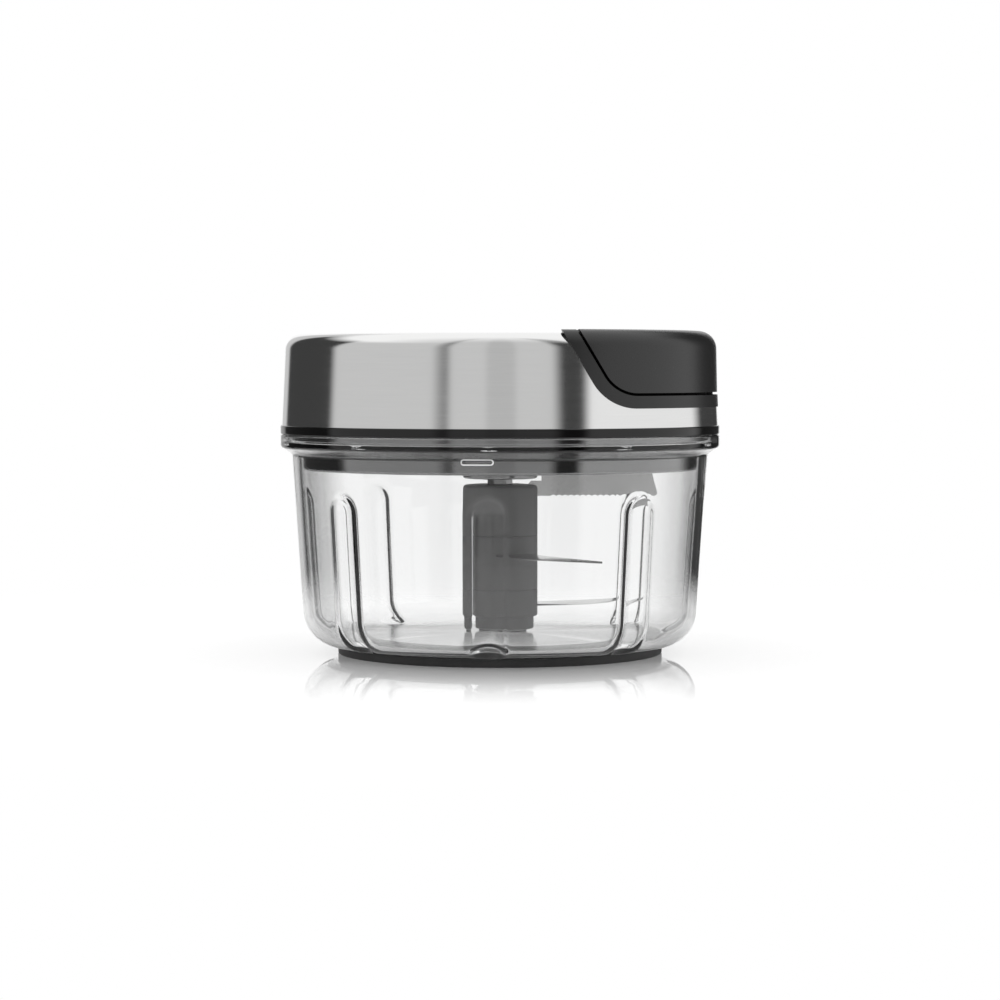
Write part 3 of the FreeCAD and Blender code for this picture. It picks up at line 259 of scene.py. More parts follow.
def rounded(corners, steps=8):
    """Outline through corners (x, z) or (x, z, rounding), with arcs at the rounded ones."""
    outline = []
    for i, corner in enumerate(corners):
        here = Vector(corner[:2])
        if len(corner) == 2:
            outline.append(tuple(here))
            continue
        back = (Vector(corners[i - 1][:2]) - here).normalized()
        ahead = (Vector(corners[(i + 1) % len(corners)][:2]) - here).normalized()
        half = back.angle(ahead) / 2
        centre = here + (back + ahead).normalized() * corner[2] / math.sin(half)
        spread = math.pi / 2 - half
        middle = here - centre
        turn = 1 if back.x * ahead.y - back.y * ahead.x < 0 else -1
        for step in range(steps + 1):
            swing = turn * spread * (2 * step / steps - 1)
            point = middle.normalized() * corner[2]
            outline.append((centre.x + point.x * math.cos(swing) - point.y * math.sin(swing),
                            centre.y + point.x * math.sin(swing) + point.y * math.cos(swing)))
    return outline


def line(start, end, steps):
    """Points evenly along a line, without its last one."""
    return [tuple(Vector(start).lerp(Vector(end), i / steps)) for i in range(steps)]


def edit(action):
    """Run an action on the active piece in edit mode, with everything selected."""
    bpy.ops.object.mode_set(mode="EDIT")
    bpy.ops.mesh.select_all(action="SELECT")
    action()
    bpy.ops.object.mode_set(mode="OBJECT")


def outline_piece(name, outline, y=0.0, fill="NOTHING"):
    """New piece: a ring of vertices moved onto an outline in the XZ plane."""
    bpy.ops.object.select_all(action="DESELECT")
    bpy.ops.mesh.primitive_circle_add(vertices=len(outline), radius=0.01, fill_type=fill)
    piece = bpy.context.object
    piece.name = piece.data.name = name
    for vertex, (x, z) in zip(piece.data.vertices, outline):
        vertex.co = (x, y, z)
    return piece


def face_outwards():
    bpy.ops.mesh.select_all(action="SELECT")
    bpy.ops.mesh.normals_make_consistent(inside=False)


def activate(piece):
    """Make a piece the active one and the only one selected."""
    bpy.ops.object.select_all(action="DESELECT")
    piece.select_set(True)
    bpy.context.view_layer.objects.active = piece


def smooth(piece, limit=SMOOTH_ANGLE):
    activate(piece)
    bpy.ops.object.shade_smooth_by_angle(angle=limit)


def turned(name, outline, steps=288, axis=(0, 0, 1), centre=(0, 0, 0)):
    """Piece spun from one outline about an axis, with its seam and poles closed."""
    piece = outline_piece(name, outline)

    def spin():
        bpy.ops.mesh.spin(steps=steps, angle=2 * math.pi, center=centre, axis=axis)
        bpy.ops.mesh.select_all(action="SELECT")
        bpy.ops.mesh.remove_doubles(threshold=MERGE)
        bpy.ops.mesh.delete_loose(use_verts=True, use_edges=True, use_faces=False)
        face_outwards()

    edit(spin)
    smooth(piece)
    return piece


def slab(name, outline, half_width, y=0.0):
    """Piece of one outline in the XZ plane, extruded both ways along Y."""
    piece = outline_piece(name, outline, y=y - half_width, fill="NGON")

    def thicken():
        bpy.ops.mesh.extrude_region_move(
            TRANSFORM_OT_translate={"value": (0, 2 * half_width, 0)})
        face_outwards()

    edit(thicken)
    return piece


def apply(piece, kind, **settings):
    """Add a modifier with its settings and apply it."""
    modifier = piece.modifiers.new(kind.title(), kind)
    for name, value in settings.items():
        setattr(modifier, name, value)
    activate(piece)
    bpy.ops.object.modifier_apply(modifier=modifier.name)


def join_shape(piece, tool, operation):
    """Cut with, add or keep the overlap with another piece, which is used up."""
    apply(piece, "BOOLEAN", object=tool, operation=operation, solver="EXACT")
    bpy.data.objects.remove(tool)
    edit(lambda: bpy.ops.mesh.remove_doubles(threshold=MERGE))


def dress(piece, body, slot, *nodes):
    """Give a piece its material, its body, and the nodes that it stands for."""
    piece.data.materials.clear()
    piece.data.materials.append(material(slot))
    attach(piece, body)
    if nodes:
        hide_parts(*nodes)


def dress_nodes(*names):
    """Give nodes that keep their own mesh the material of their slot."""
    slots = {part["node"]: part["material_slot"] for part in frame["record"]["subparts"]}
    for name in names:
        mesh = frame["nodes"][name].data
        mesh.materials.clear()
        mesh.materials.append(material(slots[name]))


# Materials ----------------------------------------------------------------------------------

WHITE = (1.0, 1.0, 1.0, 1.0)
PLASTIC_IOR = 1.5


def plug(tree, made, inputs):
    """Link outputs to a node's inputs, and set the inputs that are plain values."""
    for key, value in inputs.items():
        if isinstance(value, bpy.types.NodeSocket):
            tree.links.new(value, made.inputs[key])
        else:
            made.inputs[key].default_value = value


def node(tree, kind, inputs=None, **settings):
    """New shader node with its settings and its inputs, which are values or outputs."""
    made = tree.nodes.new("ShaderNode" + kind)
    for name, value in settings.items():
        setattr(made, name, value)
    plug(tree, made, inputs or {})
    return made


def calc(tree, operation, first, second=0.0):
    return node(tree, "Math", {0: first, 1: second}, operation=operation).outputs[0]


def length(tree, x, y):
    """Length of a step along x and y."""
    return calc(tree, "SQRT", calc(tree, "ADD", calc(tree, "MULTIPLY", x, x),
                                   calc(tree, "MULTIPLY", y, y)))


def mix(tree, factor, first, second, **settings):
    """Mix of two colours."""
    return node(tree, "Mix", {"Factor": factor, 6: first, 7: second}, data_type="RGBA",
                **settings).outputs[2]


def change(tree, value, start, end, first, last, **settings):
    """Number that goes from first to last while a value goes from start to end."""
    return node(tree, "MapRange", {"Value": value, "From Min": start, "From Max": end,
                                   "To Min": first, "To Max": last}, **settings).outputs[0]


def ramp(tree, factor, stops):
    """Grey ramp with stops (position, grey)."""
    made = node(tree, "ValToRGB", {"Fac": factor})
    elements = made.color_ramp.elements
    while len(elements) > 1:
        elements.remove(elements[-1])
    for i, (position, grey) in enumerate(stops):
        element = elements[0] if i == 0 else elements.new(position)
        element.position = position
        element.color = (grey, grey, grey, 1.0)
    return made.outputs["Color"]


def place_of(tree):
    return node(tree, "TexCoord").outputs["Object"]


def place_parts(tree):
    return node(tree, "SeparateXYZ", {"Vector": place_of(tree)}).outputs


def bump(tree, shader, height, strength, distance):
    made = node(tree, "Bump", {"Height": height, "Strength": strength, "Distance": distance})
    plug(tree, shader, {"Normal": made.outputs[0]})


def shaded(tree, colour, factor, spread):
    """Colour that varies a little with a factor from 0 to 1."""
    low = [c * (1 - spread) for c in colour]
    high = [min(c * (1 + spread), 1.0) for c in colour]
    return mix(tree, factor, (*low, 1.0), (*high, 1.0))


def grain(tree, scale, detail=2.0):
    return node(tree, "TexNoise", {"Vector": place_of(tree), "Scale": scale,
                                   "Detail": detail}).outputs["Fac"]


def round_grain(tree, along, across):
    """Noise drawn out round the axis: fine lines that circle the piece."""
    x, y, z = place_parts(tree)
    vector = node(tree, "CombineXYZ", {
        0: calc(tree, "MULTIPLY", calc(tree, "ARCTAN2", y, x), along),
        1: calc(tree, "MULTIPLY", length(tree, x, y), across),
        2: calc(tree, "MULTIPLY", z, across)})
    return node(tree, "TexNoise", {"Vector": vector.outputs[0], "Scale": 1.0, "Detail": 3.0,
                                   "Roughness": 0.6}).outputs["Fac"]


def mark_edge(tree, sizes, place, away):
    """Where the frosted edge of the raised bar lies on the bowl's neck."""
    x, y, z = place
    inset, half_line, skin = 0.00015, 0.00018, 0.0012
    neck_radius = sizes.rim_radius - sizes.overhang
    turn = calc(tree, "ADD", calc(tree, "ARCTAN2", y, x), math.pi / 2 + sizes.mark_turn)
    along = calc(tree, "ABSOLUTE", calc(tree, "MULTIPLY", turn, neck_radius))
    corner = sizes.mark_height / 2
    out_x = calc(tree, "MAXIMUM", calc(tree, "SUBTRACT", along, sizes.mark_width / 2 - corner))
    out_z = calc(tree, "SUBTRACT", z, neck_height(sizes) - sizes.mark_drop)
    off = calc(tree, "SUBTRACT", length(tree, out_x, out_z), corner - inset)
    return calc(tree, "MULTIPLY",
                calc(tree, "LESS_THAN", calc(tree, "ABSOLUTE", off), half_line),
                calc(tree, "GREATER_THAN", away, neck_radius - skin))


# Painted shade in the wall's tint, which changes from where it is seen face on to edge on: (facing,
# share)
WALL_EDGE_SHADE = [(0.38, 1.0), (0.48, 0.82), (0.64, 0.7), (0.72, 0.75), (0.8, 1.0)]


def clear_plastic(tree, shader, colours):
    """Clear moulding: frosted faintly on its floor and clearly at the bar's edge, with painted
    shade in its tint where the wall is seen edge on.
    """
    sizes = bpy.context.scene.chopper_bowl
    floor_skin, floor_roughness = 0.0002, 0.15
    x, y, z = place_parts(tree)
    away = length(tree, x, y)
    above = calc(tree, "ABSOLUTE", calc(tree, "SUBTRACT", z, sizes.underside + sizes.floor_wall))
    inside = calc(tree, "MULTIPLY", calc(tree, "LESS_THAN", above, floor_skin),
                  calc(tree, "LESS_THAN", away, sizes.ring_radius))
    # The flutes don't change how edge on the wall counts as seen
    outwards = node(tree, "CombineXYZ", {"X": x, "Y": y})
    outwards = node(tree, "VectorMath", {0: outwards.outputs[0]}, operation="NORMALIZE")
    edge_on = node(tree, "LayerWeight", {"Blend": 0.5, "Normal": outwards.outputs[0]})
    # Painted shade: the tint darkens the wall where it is seen edge on
    depth = ramp(tree, edge_on.outputs["Facing"], WALL_EDGE_SHADE)
    frosted = mark_edge(tree, sizes, (x, y, z), away)
    plug(tree, shader, {
        "Base Color": mix(tree, 1.0, (*colours.clear, 1.0), depth, blend_type="MULTIPLY"),
        "Roughness": calc(tree, "MULTIPLY", inside, floor_roughness),
        "IOR": PLASTIC_IOR,
        "Transmission Weight": calc(tree, "SUBTRACT", 1.0, frosted)})
    bump(tree, shader, grain(tree, 45.0, 1.0), 0.02, 0.0004)


def brushed_cover(tree, shader, colours):
    """Steel brushed round the axis, in fine and in broad lines."""
    fine = round_grain(tree, 5.0, 4200.0)
    broad = round_grain(tree, 2.0, 700.0)
    both = calc(tree, "ADD", calc(tree, "MULTIPLY", fine, 0.6),
                calc(tree, "MULTIPLY", broad, 0.4))
    plug(tree, shader, {"Base Color": shaded(tree, colours.steel, both, 0.05), "Metallic": 1.0,
                        "Roughness": ramp(tree, both, [(0.3, 0.08), (0.7, 0.13)])})
    bump(tree, shader, fine, 0.08, 0.00003)


def moulded(tree, shader, colour, roughness, texture, strength, ior=PLASTIC_IOR):
    """Moulded plastic: a fine grain in its gloss, its tone and its surface."""
    fine = grain(tree, texture)
    gloss = [(0.3, roughness - 0.04), (0.7, roughness + 0.04)]
    plug(tree, shader, {"Base Color": shaded(tree, colour, grain(tree, 90.0), 0.1),
                        "Roughness": ramp(tree, fine, gloss), "IOR": ior})
    bump(tree, shader, fine, strength, 0.00003)


def black_gloss(tree, shader, colours):
    """Polished moulding, with a brighter lacquer on what goes into the bowl."""
    height = place_parts(tree)[2]
    coat_top = bpy.context.scene.chopper_lid.flange_bottom - 0.0002
    moulded(tree, shader, colours.gloss, 0.08, 3000.0, 0.01)
    plug(tree, shader, {"Coat Weight": calc(tree, "LESS_THAN", height, coat_top),
                        "Coat Roughness": 0.03, "Coat IOR": 2.7})


def ringed_metal(tree, shader, colour, roughness, along, across, spread, strength, distance):
    """Metal with fine rings round the axis, from turning or grinding."""
    rings = round_grain(tree, along, across)
    plug(tree, shader, {"Base Color": shaded(tree, colour, rings, spread), "Metallic": 1.0,
                        "Roughness": roughness})
    bump(tree, shader, rings, strength, distance)


def cord(tree, shader, colours):
    """Two sets of strands that cross round the cord."""
    x, y, z = place_parts(tree)
    level = calc(tree, "SUBTRACT", z, bpy.context.scene.chopper_cord.height)
    run = calc(tree, "MULTIPLY", x, 2600.0)
    strands = calc(tree, "MULTIPLY", calc(tree, "ARCTAN2", y, level), 4.0)
    one = calc(tree, "SINE", calc(tree, "ADD", run, strands))
    other = calc(tree, "SINE", calc(tree, "SUBTRACT", run, strands))
    weave = calc(tree, "MULTIPLY_ADD", calc(tree, "MULTIPLY", one, other), 0.5)
    tone = calc(tree, "ADD", weave, 0.5)
    plug(tree, shader, {"Base Color": shaded(tree, colours.cord, tone, 0.25),
                        "Roughness": 0.75, "Sheen Weight": 0.2})
    bump(tree, shader, weave, 0.6, 0.00012)


# Slots with a finish of their own
FINISHES = {finish.__name__: finish for finish in (clear_plastic, brushed_cover, black_gloss,
                                                   cord)}
# Colour, roughness, grain's scale and strength, and index of refraction where it isn't plain
MOULDED = {
    "handle_black": ("grip", 0.3, 5200.0, 0.1, 1.6),
    "trim_black": ("trim", 0.32, 5200.0, 0.1),
    "black_matte": ("gloss", 0.6, 3000.0, 0.3),
    "sleeve_plastic": ("sleeve", 0.5, 3000.0, 0.2),
    "mechanism_plastic": ("plastic", 0.45, 1800.0, 0.2),
    "soft_ring": ("rubber", 0.55, 2400.0, 0.3),
    "seal_rubber": ("rubber", 0.5, 2400.0, 0.3),
}
# Colour, roughness, rings along and across, spread of tone, bump's strength and distance
METALS = {
    "blade_steel": ("blade", 0.2, 30.0, 1500.0, 0.12, 0.2, 0.00003),
    "steel": ("blade", 0.22, 4.0, 9000.0, 0.1, 0.15, 0.00002),
    "brass": ("brass", 0.28, 4.0, 9000.0, 0.1, 0.15, 0.00002),
    "eyelet": ("eyelet", 0.12, 4.0, 9000.0, 0.1, 0.15, 0.00002),
}


def material(slot):
    """The material of a slot, made the first time that it is asked for."""
    name = slot + "_finish"
    if name in bpy.data.materials:
        return bpy.data.materials[name]
    made = bpy.data.materials.new(name)
    made.use_nodes = True
    tree = made.node_tree
    tree.nodes.clear()
    shader = node(tree, "BsdfPrincipled")
    node(tree, "OutputMaterial", {"Surface": shader.outputs[0]})
    colours = bpy.context.scene.chopper_finish
    if slot in FINISHES:
        FINISHES[slot](tree, shader, colours)
        return made
    table, finish = (MOULDED, moulded) if slot in MOULDED else (METALS, ringed_metal)
    colour, *look = table[slot]
    finish(tree, shader, getattr(colours, colour), *look)
    return made


# Bowl ---------------------------------------------------------------------------------------

def neck_height(sizes):
    return sizes.rim_height - sizes.rim_depth - sizes.ledge_drop


class Flutes:
    """Round rods laid beside the bowl's wall, which press the flutes into it."""

    COUNT = 8
    PITCH = 2 * math.pi / COUNT

    def __init__(self, sizes):
        neck = neck_height(sizes)
        self.foot_x = sizes.rim_radius - sizes.overhang - sizes.draft
        self.underside = sizes.underside
        self.taper = sizes.draft / (neck - sizes.underside)
        self.lean = math.atan(self.taper)
        self.wall = sizes.wall
        self.corner = sizes.corner
        self.bend = Vector((
            self.foot_x + sizes.corner * (self.taper - math.hypot(1, self.taper)),
            sizes.underside + sizes.corner))
        self.radius = sizes.flute_radius
        self.stand_off = sizes.flute_radius - sizes.flute_depth
        self.edge = sizes.flute_edge
        self.end = math.pi / 2 - sizes.flute_end
        height = neck - sizes.flute_margin - sizes.flute_radius
        self.top = Vector((self.wall_x(height), height)) + self.outwards() * self.stand_off
        self.turn = -math.pi / 2 - sizes.flute_turn

    def outwards(self):
        return Vector((math.cos(self.lean), -math.sin(self.lean)))

    def wall_x(self, height):
        return self.foot_x + self.taper * (height - self.underside)

    def depth(self, point):
        """How deep in the wall a point lies, from the bowl's outer surface."""
        if point.y > self.bend.y:
            return (self.wall_x(point.y) - point.x) * math.cos(self.lean)
        return self.corner - (point - self.bend).length

    def nearest(self, point):
        """Nearest point on a rod's line, which runs down and round the lower corner."""
        reach = self.corner + self.stand_off
        low = self.bend + self.outwards() * reach
        run = low - self.top
        share = min(max((point - self.top).dot(run) / run.length_squared, 0.0), 1.0)
        on_line = self.top + run * share
        away = point - self.bend
        swing = min(max(math.atan2(away.y, away.x), -self.end), -self.lean)
        on_bend = self.bend + Vector((math.cos(swing), math.sin(swing))) * reach
        return min(on_line, on_bend, key=lambda place: (point - place).length_squared)

    def pressed(self, away, height, offset):
        """Where a wall point goes, given its place in the plane of its flute."""
        point = Vector((away, height))
        rod = self.radius + (self.wall if self.depth(point) > self.wall / 2 else 0.0)
        if abs(offset) >= rod:
            return point
        near = self.nearest(point)
        gap = (point - near).length
        clear = math.sqrt(rod * rod - offset * offset)
        if gap > clear + 16 * self.edge:
            return point
        pushed = (gap + clear + math.hypot(gap - clear, self.edge)) / 2
        return near + (point - near) * (pushed / gap)


# The bowl's columns lie closer together within a spread of each flute's middle. Nearer to the
# axis than the flutes reach, nothing is pressed in
BOWL_COLUMNS = 448
CLOSE_COLUMNS = 23
CLOSE_SPREAD = 0.0088
SPREAD_RADIUS = 0.045
FLUTES_FROM = 0.04


def bowl_outline(sizes, flutes):
    """The bowl's section: underside, outer wall, rim, inner wall and floor."""
    slope = sizes.ledge_drop / sizes.overhang
    neck_x = sizes.rim_radius - sizes.overhang
    rim_low = sizes.rim_height - sizes.rim_depth
    neck_z = neck_height(sizes)
    rim_inner = sizes.rim_radius - sizes.rim_wall
    ledge_rise = sizes.wall * math.hypot(1, slope)
    floor = sizes.underside + sizes.floor_wall
    seat_gap, seat_lift, pin_gap = 0.00015, 0.00002, 0.00005
    below_flute, above_flute, half_way = 0.0008, 0.0028, 0.025
    seat_inner = sizes.ring_radius - sizes.ring_width - seat_gap
    seat_outer = sizes.ring_radius + seat_gap
    seat_top = sizes.ring_top + seat_lift
    lean = math.degrees(flutes.lean)
    start = -math.degrees(math.acos((seat_outer - flutes.bend.x) / sizes.corner))
    flute_low = flutes.top.y - below_flute
    flute_high = flutes.top.y + flutes.radius + above_flute
    mark_low = neck_z - sizes.mark_drop - sizes.mark_height
    wall_at = flutes.wall_x
    outer = [(0, sizes.underside), (seat_inner, sizes.underside), (seat_inner, seat_top),
             (seat_outer, seat_top)]
    outer += arc(flutes.bend, sizes.corner, start, -lean, 32)
    outer += [(wall_at(half_way), half_way)]
    outer += line((wall_at(flute_low), flute_low), (wall_at(flute_high), flute_high), 20)
    outer += line((wall_at(mark_low), mark_low), (neck_x, neck_z), 12)
    inner_lean = sizes.wall * math.hypot(1, flutes.taper)

    def inner_x(height):
        return wall_at(height) - inner_lean

    cavity_neck = (inner_x(neck_z) + flutes.taper * (ledge_rise - neck_x * slope)) \
        / (1 - flutes.taper * slope)
    rim = rounded([
        (wall_at(mark_low), mark_low),
        (neck_x, neck_z, sizes.rounding),
        (sizes.rim_radius, rim_low, sizes.rounding),
        (sizes.rim_radius, sizes.rim_height, sizes.edge),
        (rim_inner, sizes.rim_height, sizes.edge),
        (rim_inner, neck_z + ledge_rise + slope * (rim_inner - neck_x), sizes.edge),
        (cavity_neck, neck_z + ledge_rise + slope * (cavity_neck - neck_x), sizes.rounding),
        (inner_x(flute_high), flute_high)])[1:-1]
    # The wall's own points stop where the neck's rounding starts
    under_neck = 0.004
    outer = [point for point in outer
             if point[1] < rim[0][1] or point[0] < neck_x - under_neck]
    inner = line((inner_x(flute_high), flute_high), (inner_x(flute_low), flute_low), 20)
    inner += [(inner_x(half_way), half_way)]
    inner += arc(flutes.bend, sizes.corner - sizes.wall, -lean, -90, 26)
    # The inner corner ends on the floor
    inner = [(x, max(z, floor)) for x, z in inner]
    collar_top = floor + sizes.collar_height
    hole = sizes.pin_radius + pin_gap
    middle = [(sizes.collar_radius, floor), (sizes.collar_radius, collar_top),
              (hole, collar_top), (hole, bottom("pivot_pin")), (0, bottom("pivot_pin"))]
    return outer + rim + inner + middle


def spread_columns(flutes, away, turn):
    """Crowd the bowl's columns at the flutes. Gives the flute's own turn and the offset."""
    flute = round((turn - flutes.turn) / flutes.PITCH)
    own_turn = flutes.turn + flute * flutes.PITCH
    column = round((turn - own_turn) / (2 * math.pi / BOWL_COLUMNS))
    close = math.asin(CLOSE_SPREAD / max(away, SPREAD_RADIUS))
    if abs(column) <= CLOSE_COLUMNS:
        share = column / CLOSE_COLUMNS
        swing = math.asin(CLOSE_SPREAD * share / max(away, SPREAD_RADIUS))
    else:
        half = BOWL_COLUMNS // (2 * flutes.COUNT)
        rest = (abs(column) - CLOSE_COLUMNS) / (half - CLOSE_COLUMNS)
        swing = math.copysign(close + rest * (flutes.PITCH / 2 - close), column)
    return own_turn, swing


def mark_lift(sizes, neck_z, along, height):
    """How far the raised bar on the neck lifts a point of the wall."""
    soft = 0.0003
    corner = sizes.mark_height / 2
    out_x = max(abs(along) - (sizes.mark_width / 2 - corner), 0.0)
    out_z = abs(height - (neck_z - sizes.mark_drop))
    inside = corner - math.hypot(out_x, out_z)
    share = min(max(inside / soft, 0.0), 1.0)
    return sizes.mark_proud * share * share * (3 - 2 * share)


class CHOPPER_OT_bowl(bpy.types.Operator):
    """Build the clear fluted bowl with its foot ring and pivot pin"""
    bl_idname = "chopper.bowl"
    bl_label = "Bowl"

    def execute(self, context):
        sizes = context.scene.chopper_bowl
        flutes = Flutes(sizes)
        bowl = turned("clear_bowl", bowl_outline(sizes, flutes), steps=BOWL_COLUMNS)
        neck_z = neck_height(sizes)
        mark_turn = -math.pi / 2 - sizes.mark_turn
        for vertex in bowl.data.vertices:
            x, y, z = vertex.co
            away = math.hypot(x, y)
            if away < MERGE:
                continue
            own_turn, swing = spread_columns(flutes, away, math.atan2(y, x))
            if away > FLUTES_FROM and z < neck_z:
                offset = away * math.sin(swing)
                point = flutes.pressed(away * math.cos(swing), z, offset)
                away, z = math.hypot(point.x, offset), point.y
                swing = math.atan2(offset, point.x)
            turn = own_turn + swing
            along = away * ((turn - mark_turn + math.pi) % (2 * math.pi) - math.pi)
            if flutes.depth(Vector((away, z))) < sizes.wall / 2:
                away += mark_lift(sizes, neck_z, along, z)
            vertex.co = (away * math.cos(turn), away * math.sin(turn), z)
        smooth(bowl, math.radians(40))
        dress(bowl, "bowl", "clear_plastic", "bowl")
        ring_inner = sizes.ring_radius - sizes.ring_width
        soft = 0.0004
        ring = turned("foot_ring", rounded([
            (ring_inner, 0, soft), (sizes.ring_radius, 0, soft),
            (sizes.ring_radius, sizes.ring_top, soft), (ring_inner, sizes.ring_top, soft)], 4))
        dress(ring, "bowl", "soft_ring", "base_ring")
        pin_top = top("pivot_pin")
        pin = turned("steel_pin", rounded([
            (0, bottom("pivot_pin")), (sizes.pin_radius, bottom("pivot_pin")),
            (sizes.pin_radius, pin_top, sizes.pin_radius * 0.8), (0, pin_top)]), 64)
        dress(pin, "bowl", "steel", "pivot_pin")
        return {"FINISHED"}


# Blade unit ---------------------------------------------------------------------------------

def ground_blade(name, sizes, turn, middle):
    """Curved blade, ground to a thin edge along its swept side, with an eye on the core."""
    reach, width, thickness = sizes.reach, sizes.width, sizes.plate
    low, high = middle - thickness / 2, middle + thickness / 2
    outline = rounded([
        (sizes.core_radius * 0.8, -width * 0.36),
        (reach * 0.5, -width * 0.62, reach * 0.4),
        (reach, width * 0.3),
        (reach * 0.45, width * 0.24, reach * 0.6),
        (sizes.core_radius * 0.8, width * 0.38)], 12)
    piece = outline_piece(name, outline, fill="NGON")

    def grind():
        for rise in (sizes.edge, thickness - sizes.edge):
            bpy.ops.mesh.extrude_region_move(TRANSFORM_OT_translate={"value": (0, rise, 0)})
        face_outwards()

    edit(grind)
    start = 2 * sizes.core_radius
    for vertex in piece.data.vertices:
        x, y, z = vertex.co
        if y > thickness / 2 and z < 0 and x > start:
            z += sizes.ground * min((x - start) / sizes.run_in, 1.0)
        vertex.co = (x * math.cos(turn) - z * math.sin(turn),
                     x * math.sin(turn) + z * math.cos(turn), low + y)
    edit(face_outwards)
    eye_radius = sizes.core_radius + sizes.eye_wall
    eye = turned("blade_eye", [(0, low), (eye_radius, low), (eye_radius, high), (0, high)], 64)
    join_shape(piece, eye, "UNION")
    past = 0.001
    core = turned("blade_core", [(0, low - past), (sizes.core_radius, low - past),
                                 (sizes.core_radius, high + past), (0, high + past)], 64)
    join_shape(piece, core, "DIFFERENCE")
    smooth(piece, math.radians(20))
    return piece


class CHOPPER_OT_blades(bpy.types.Operator):
    """Build the sleeve unit and finish its blades"""
    bl_idname = "chopper.blades"
    bl_label = "Blade unit"

    def execute(self, context):
        sizes = context.scene.chopper_blades
        radius, seam = sizes.sleeve_radius, sizes.seam
        core_gap = 0.00002
        inner = sizes.core_radius + core_gap
        low, low_top = bottom("blade_sleeve_lower"), top("blade_sleeve_lower")
        foot_top = low + sizes.foot_height
        lower = turned("lower_sleeve", rounded([
            (inner, low), (sizes.foot_radius, low, sizes.rounding),
            (sizes.foot_radius, foot_top), (radius, foot_top, sizes.rounding / 2),
            (radius, low_top, seam), (inner, low_top)]), 128)
        dress(lower, "blades", "sleeve_plastic", "blade_sleeve_lower")
        middle_low, middle_top = bottom("blade_sleeve_middle"), top("blade_sleeve_middle")
        middle = turned("middle_sleeve", rounded([
            (inner, middle_low), (radius, middle_low, seam),
            (radius, middle_top, seam), (inner, middle_top)]), 128)
        dress(middle, "blades", "sleeve_plastic", "blade_sleeve_middle")
        high_low, high_top = bottom("blade_sleeve_upper"), top("blade_sleeve_upper")
        core_top = top("sleeve_core")
        socket_floor = core_top + sizes.socket_floor
        upper = turned("upper_sleeve", rounded([
            (inner, high_low), (radius, high_low, seam),
            (radius, high_top, sizes.rounding), (sizes.socket_radius, high_top),
            (sizes.socket_radius, socket_floor), (0, socket_floor),
            (0, core_top), (inner, core_top)]), 128)
        dress(upper, "blades", "sleeve_plastic", "blade_sleeve_upper")
        for node_name, turn in (("middle_blade", sizes.middle_turn),
                                ("lower_blade", sizes.lower_turn)):
            height = (bottom(node_name) + top(node_name)) / 2
            blade = ground_blade(node_name + "_ground", sizes, turn, height)
            dress(blade, "blades", "blade_steel", node_name)
        dress_nodes("sleeve_core", "sleeve_bush", "top_wing_blade")
        return {"FINISHED"}


# Lid ----------------------------------------------------------------------------------------

def handle_side(sizes, reach, half_width=0.09, y=0.0):
    """Everything on the handle's side of the dock's outer faces, moved in by a reach."""
    far = sizes.dock_radius * 1.2
    high = sizes.dock_top * 1.15
    height = sizes.corner_z + reach
    corner_x = sizes.corner_x + reach * (math.hypot(1, sizes.slope) - sizes.slope)
    outline = rounded([
        (corner_x, height, sizes.bend - reach), (far, height), (far, high),
        (corner_x - sizes.slope * (high - height), high)], 24)
    return slab("handle_side", outline, half_width, y)


def dome(name, radius, top_radius, low, high, rounding):
    """Solid round form with a rounded top edge."""
    return turned(name, rounded([(0, low), (radius, low), (top_radius, high, rounding),
                                 (0, high)], 12))


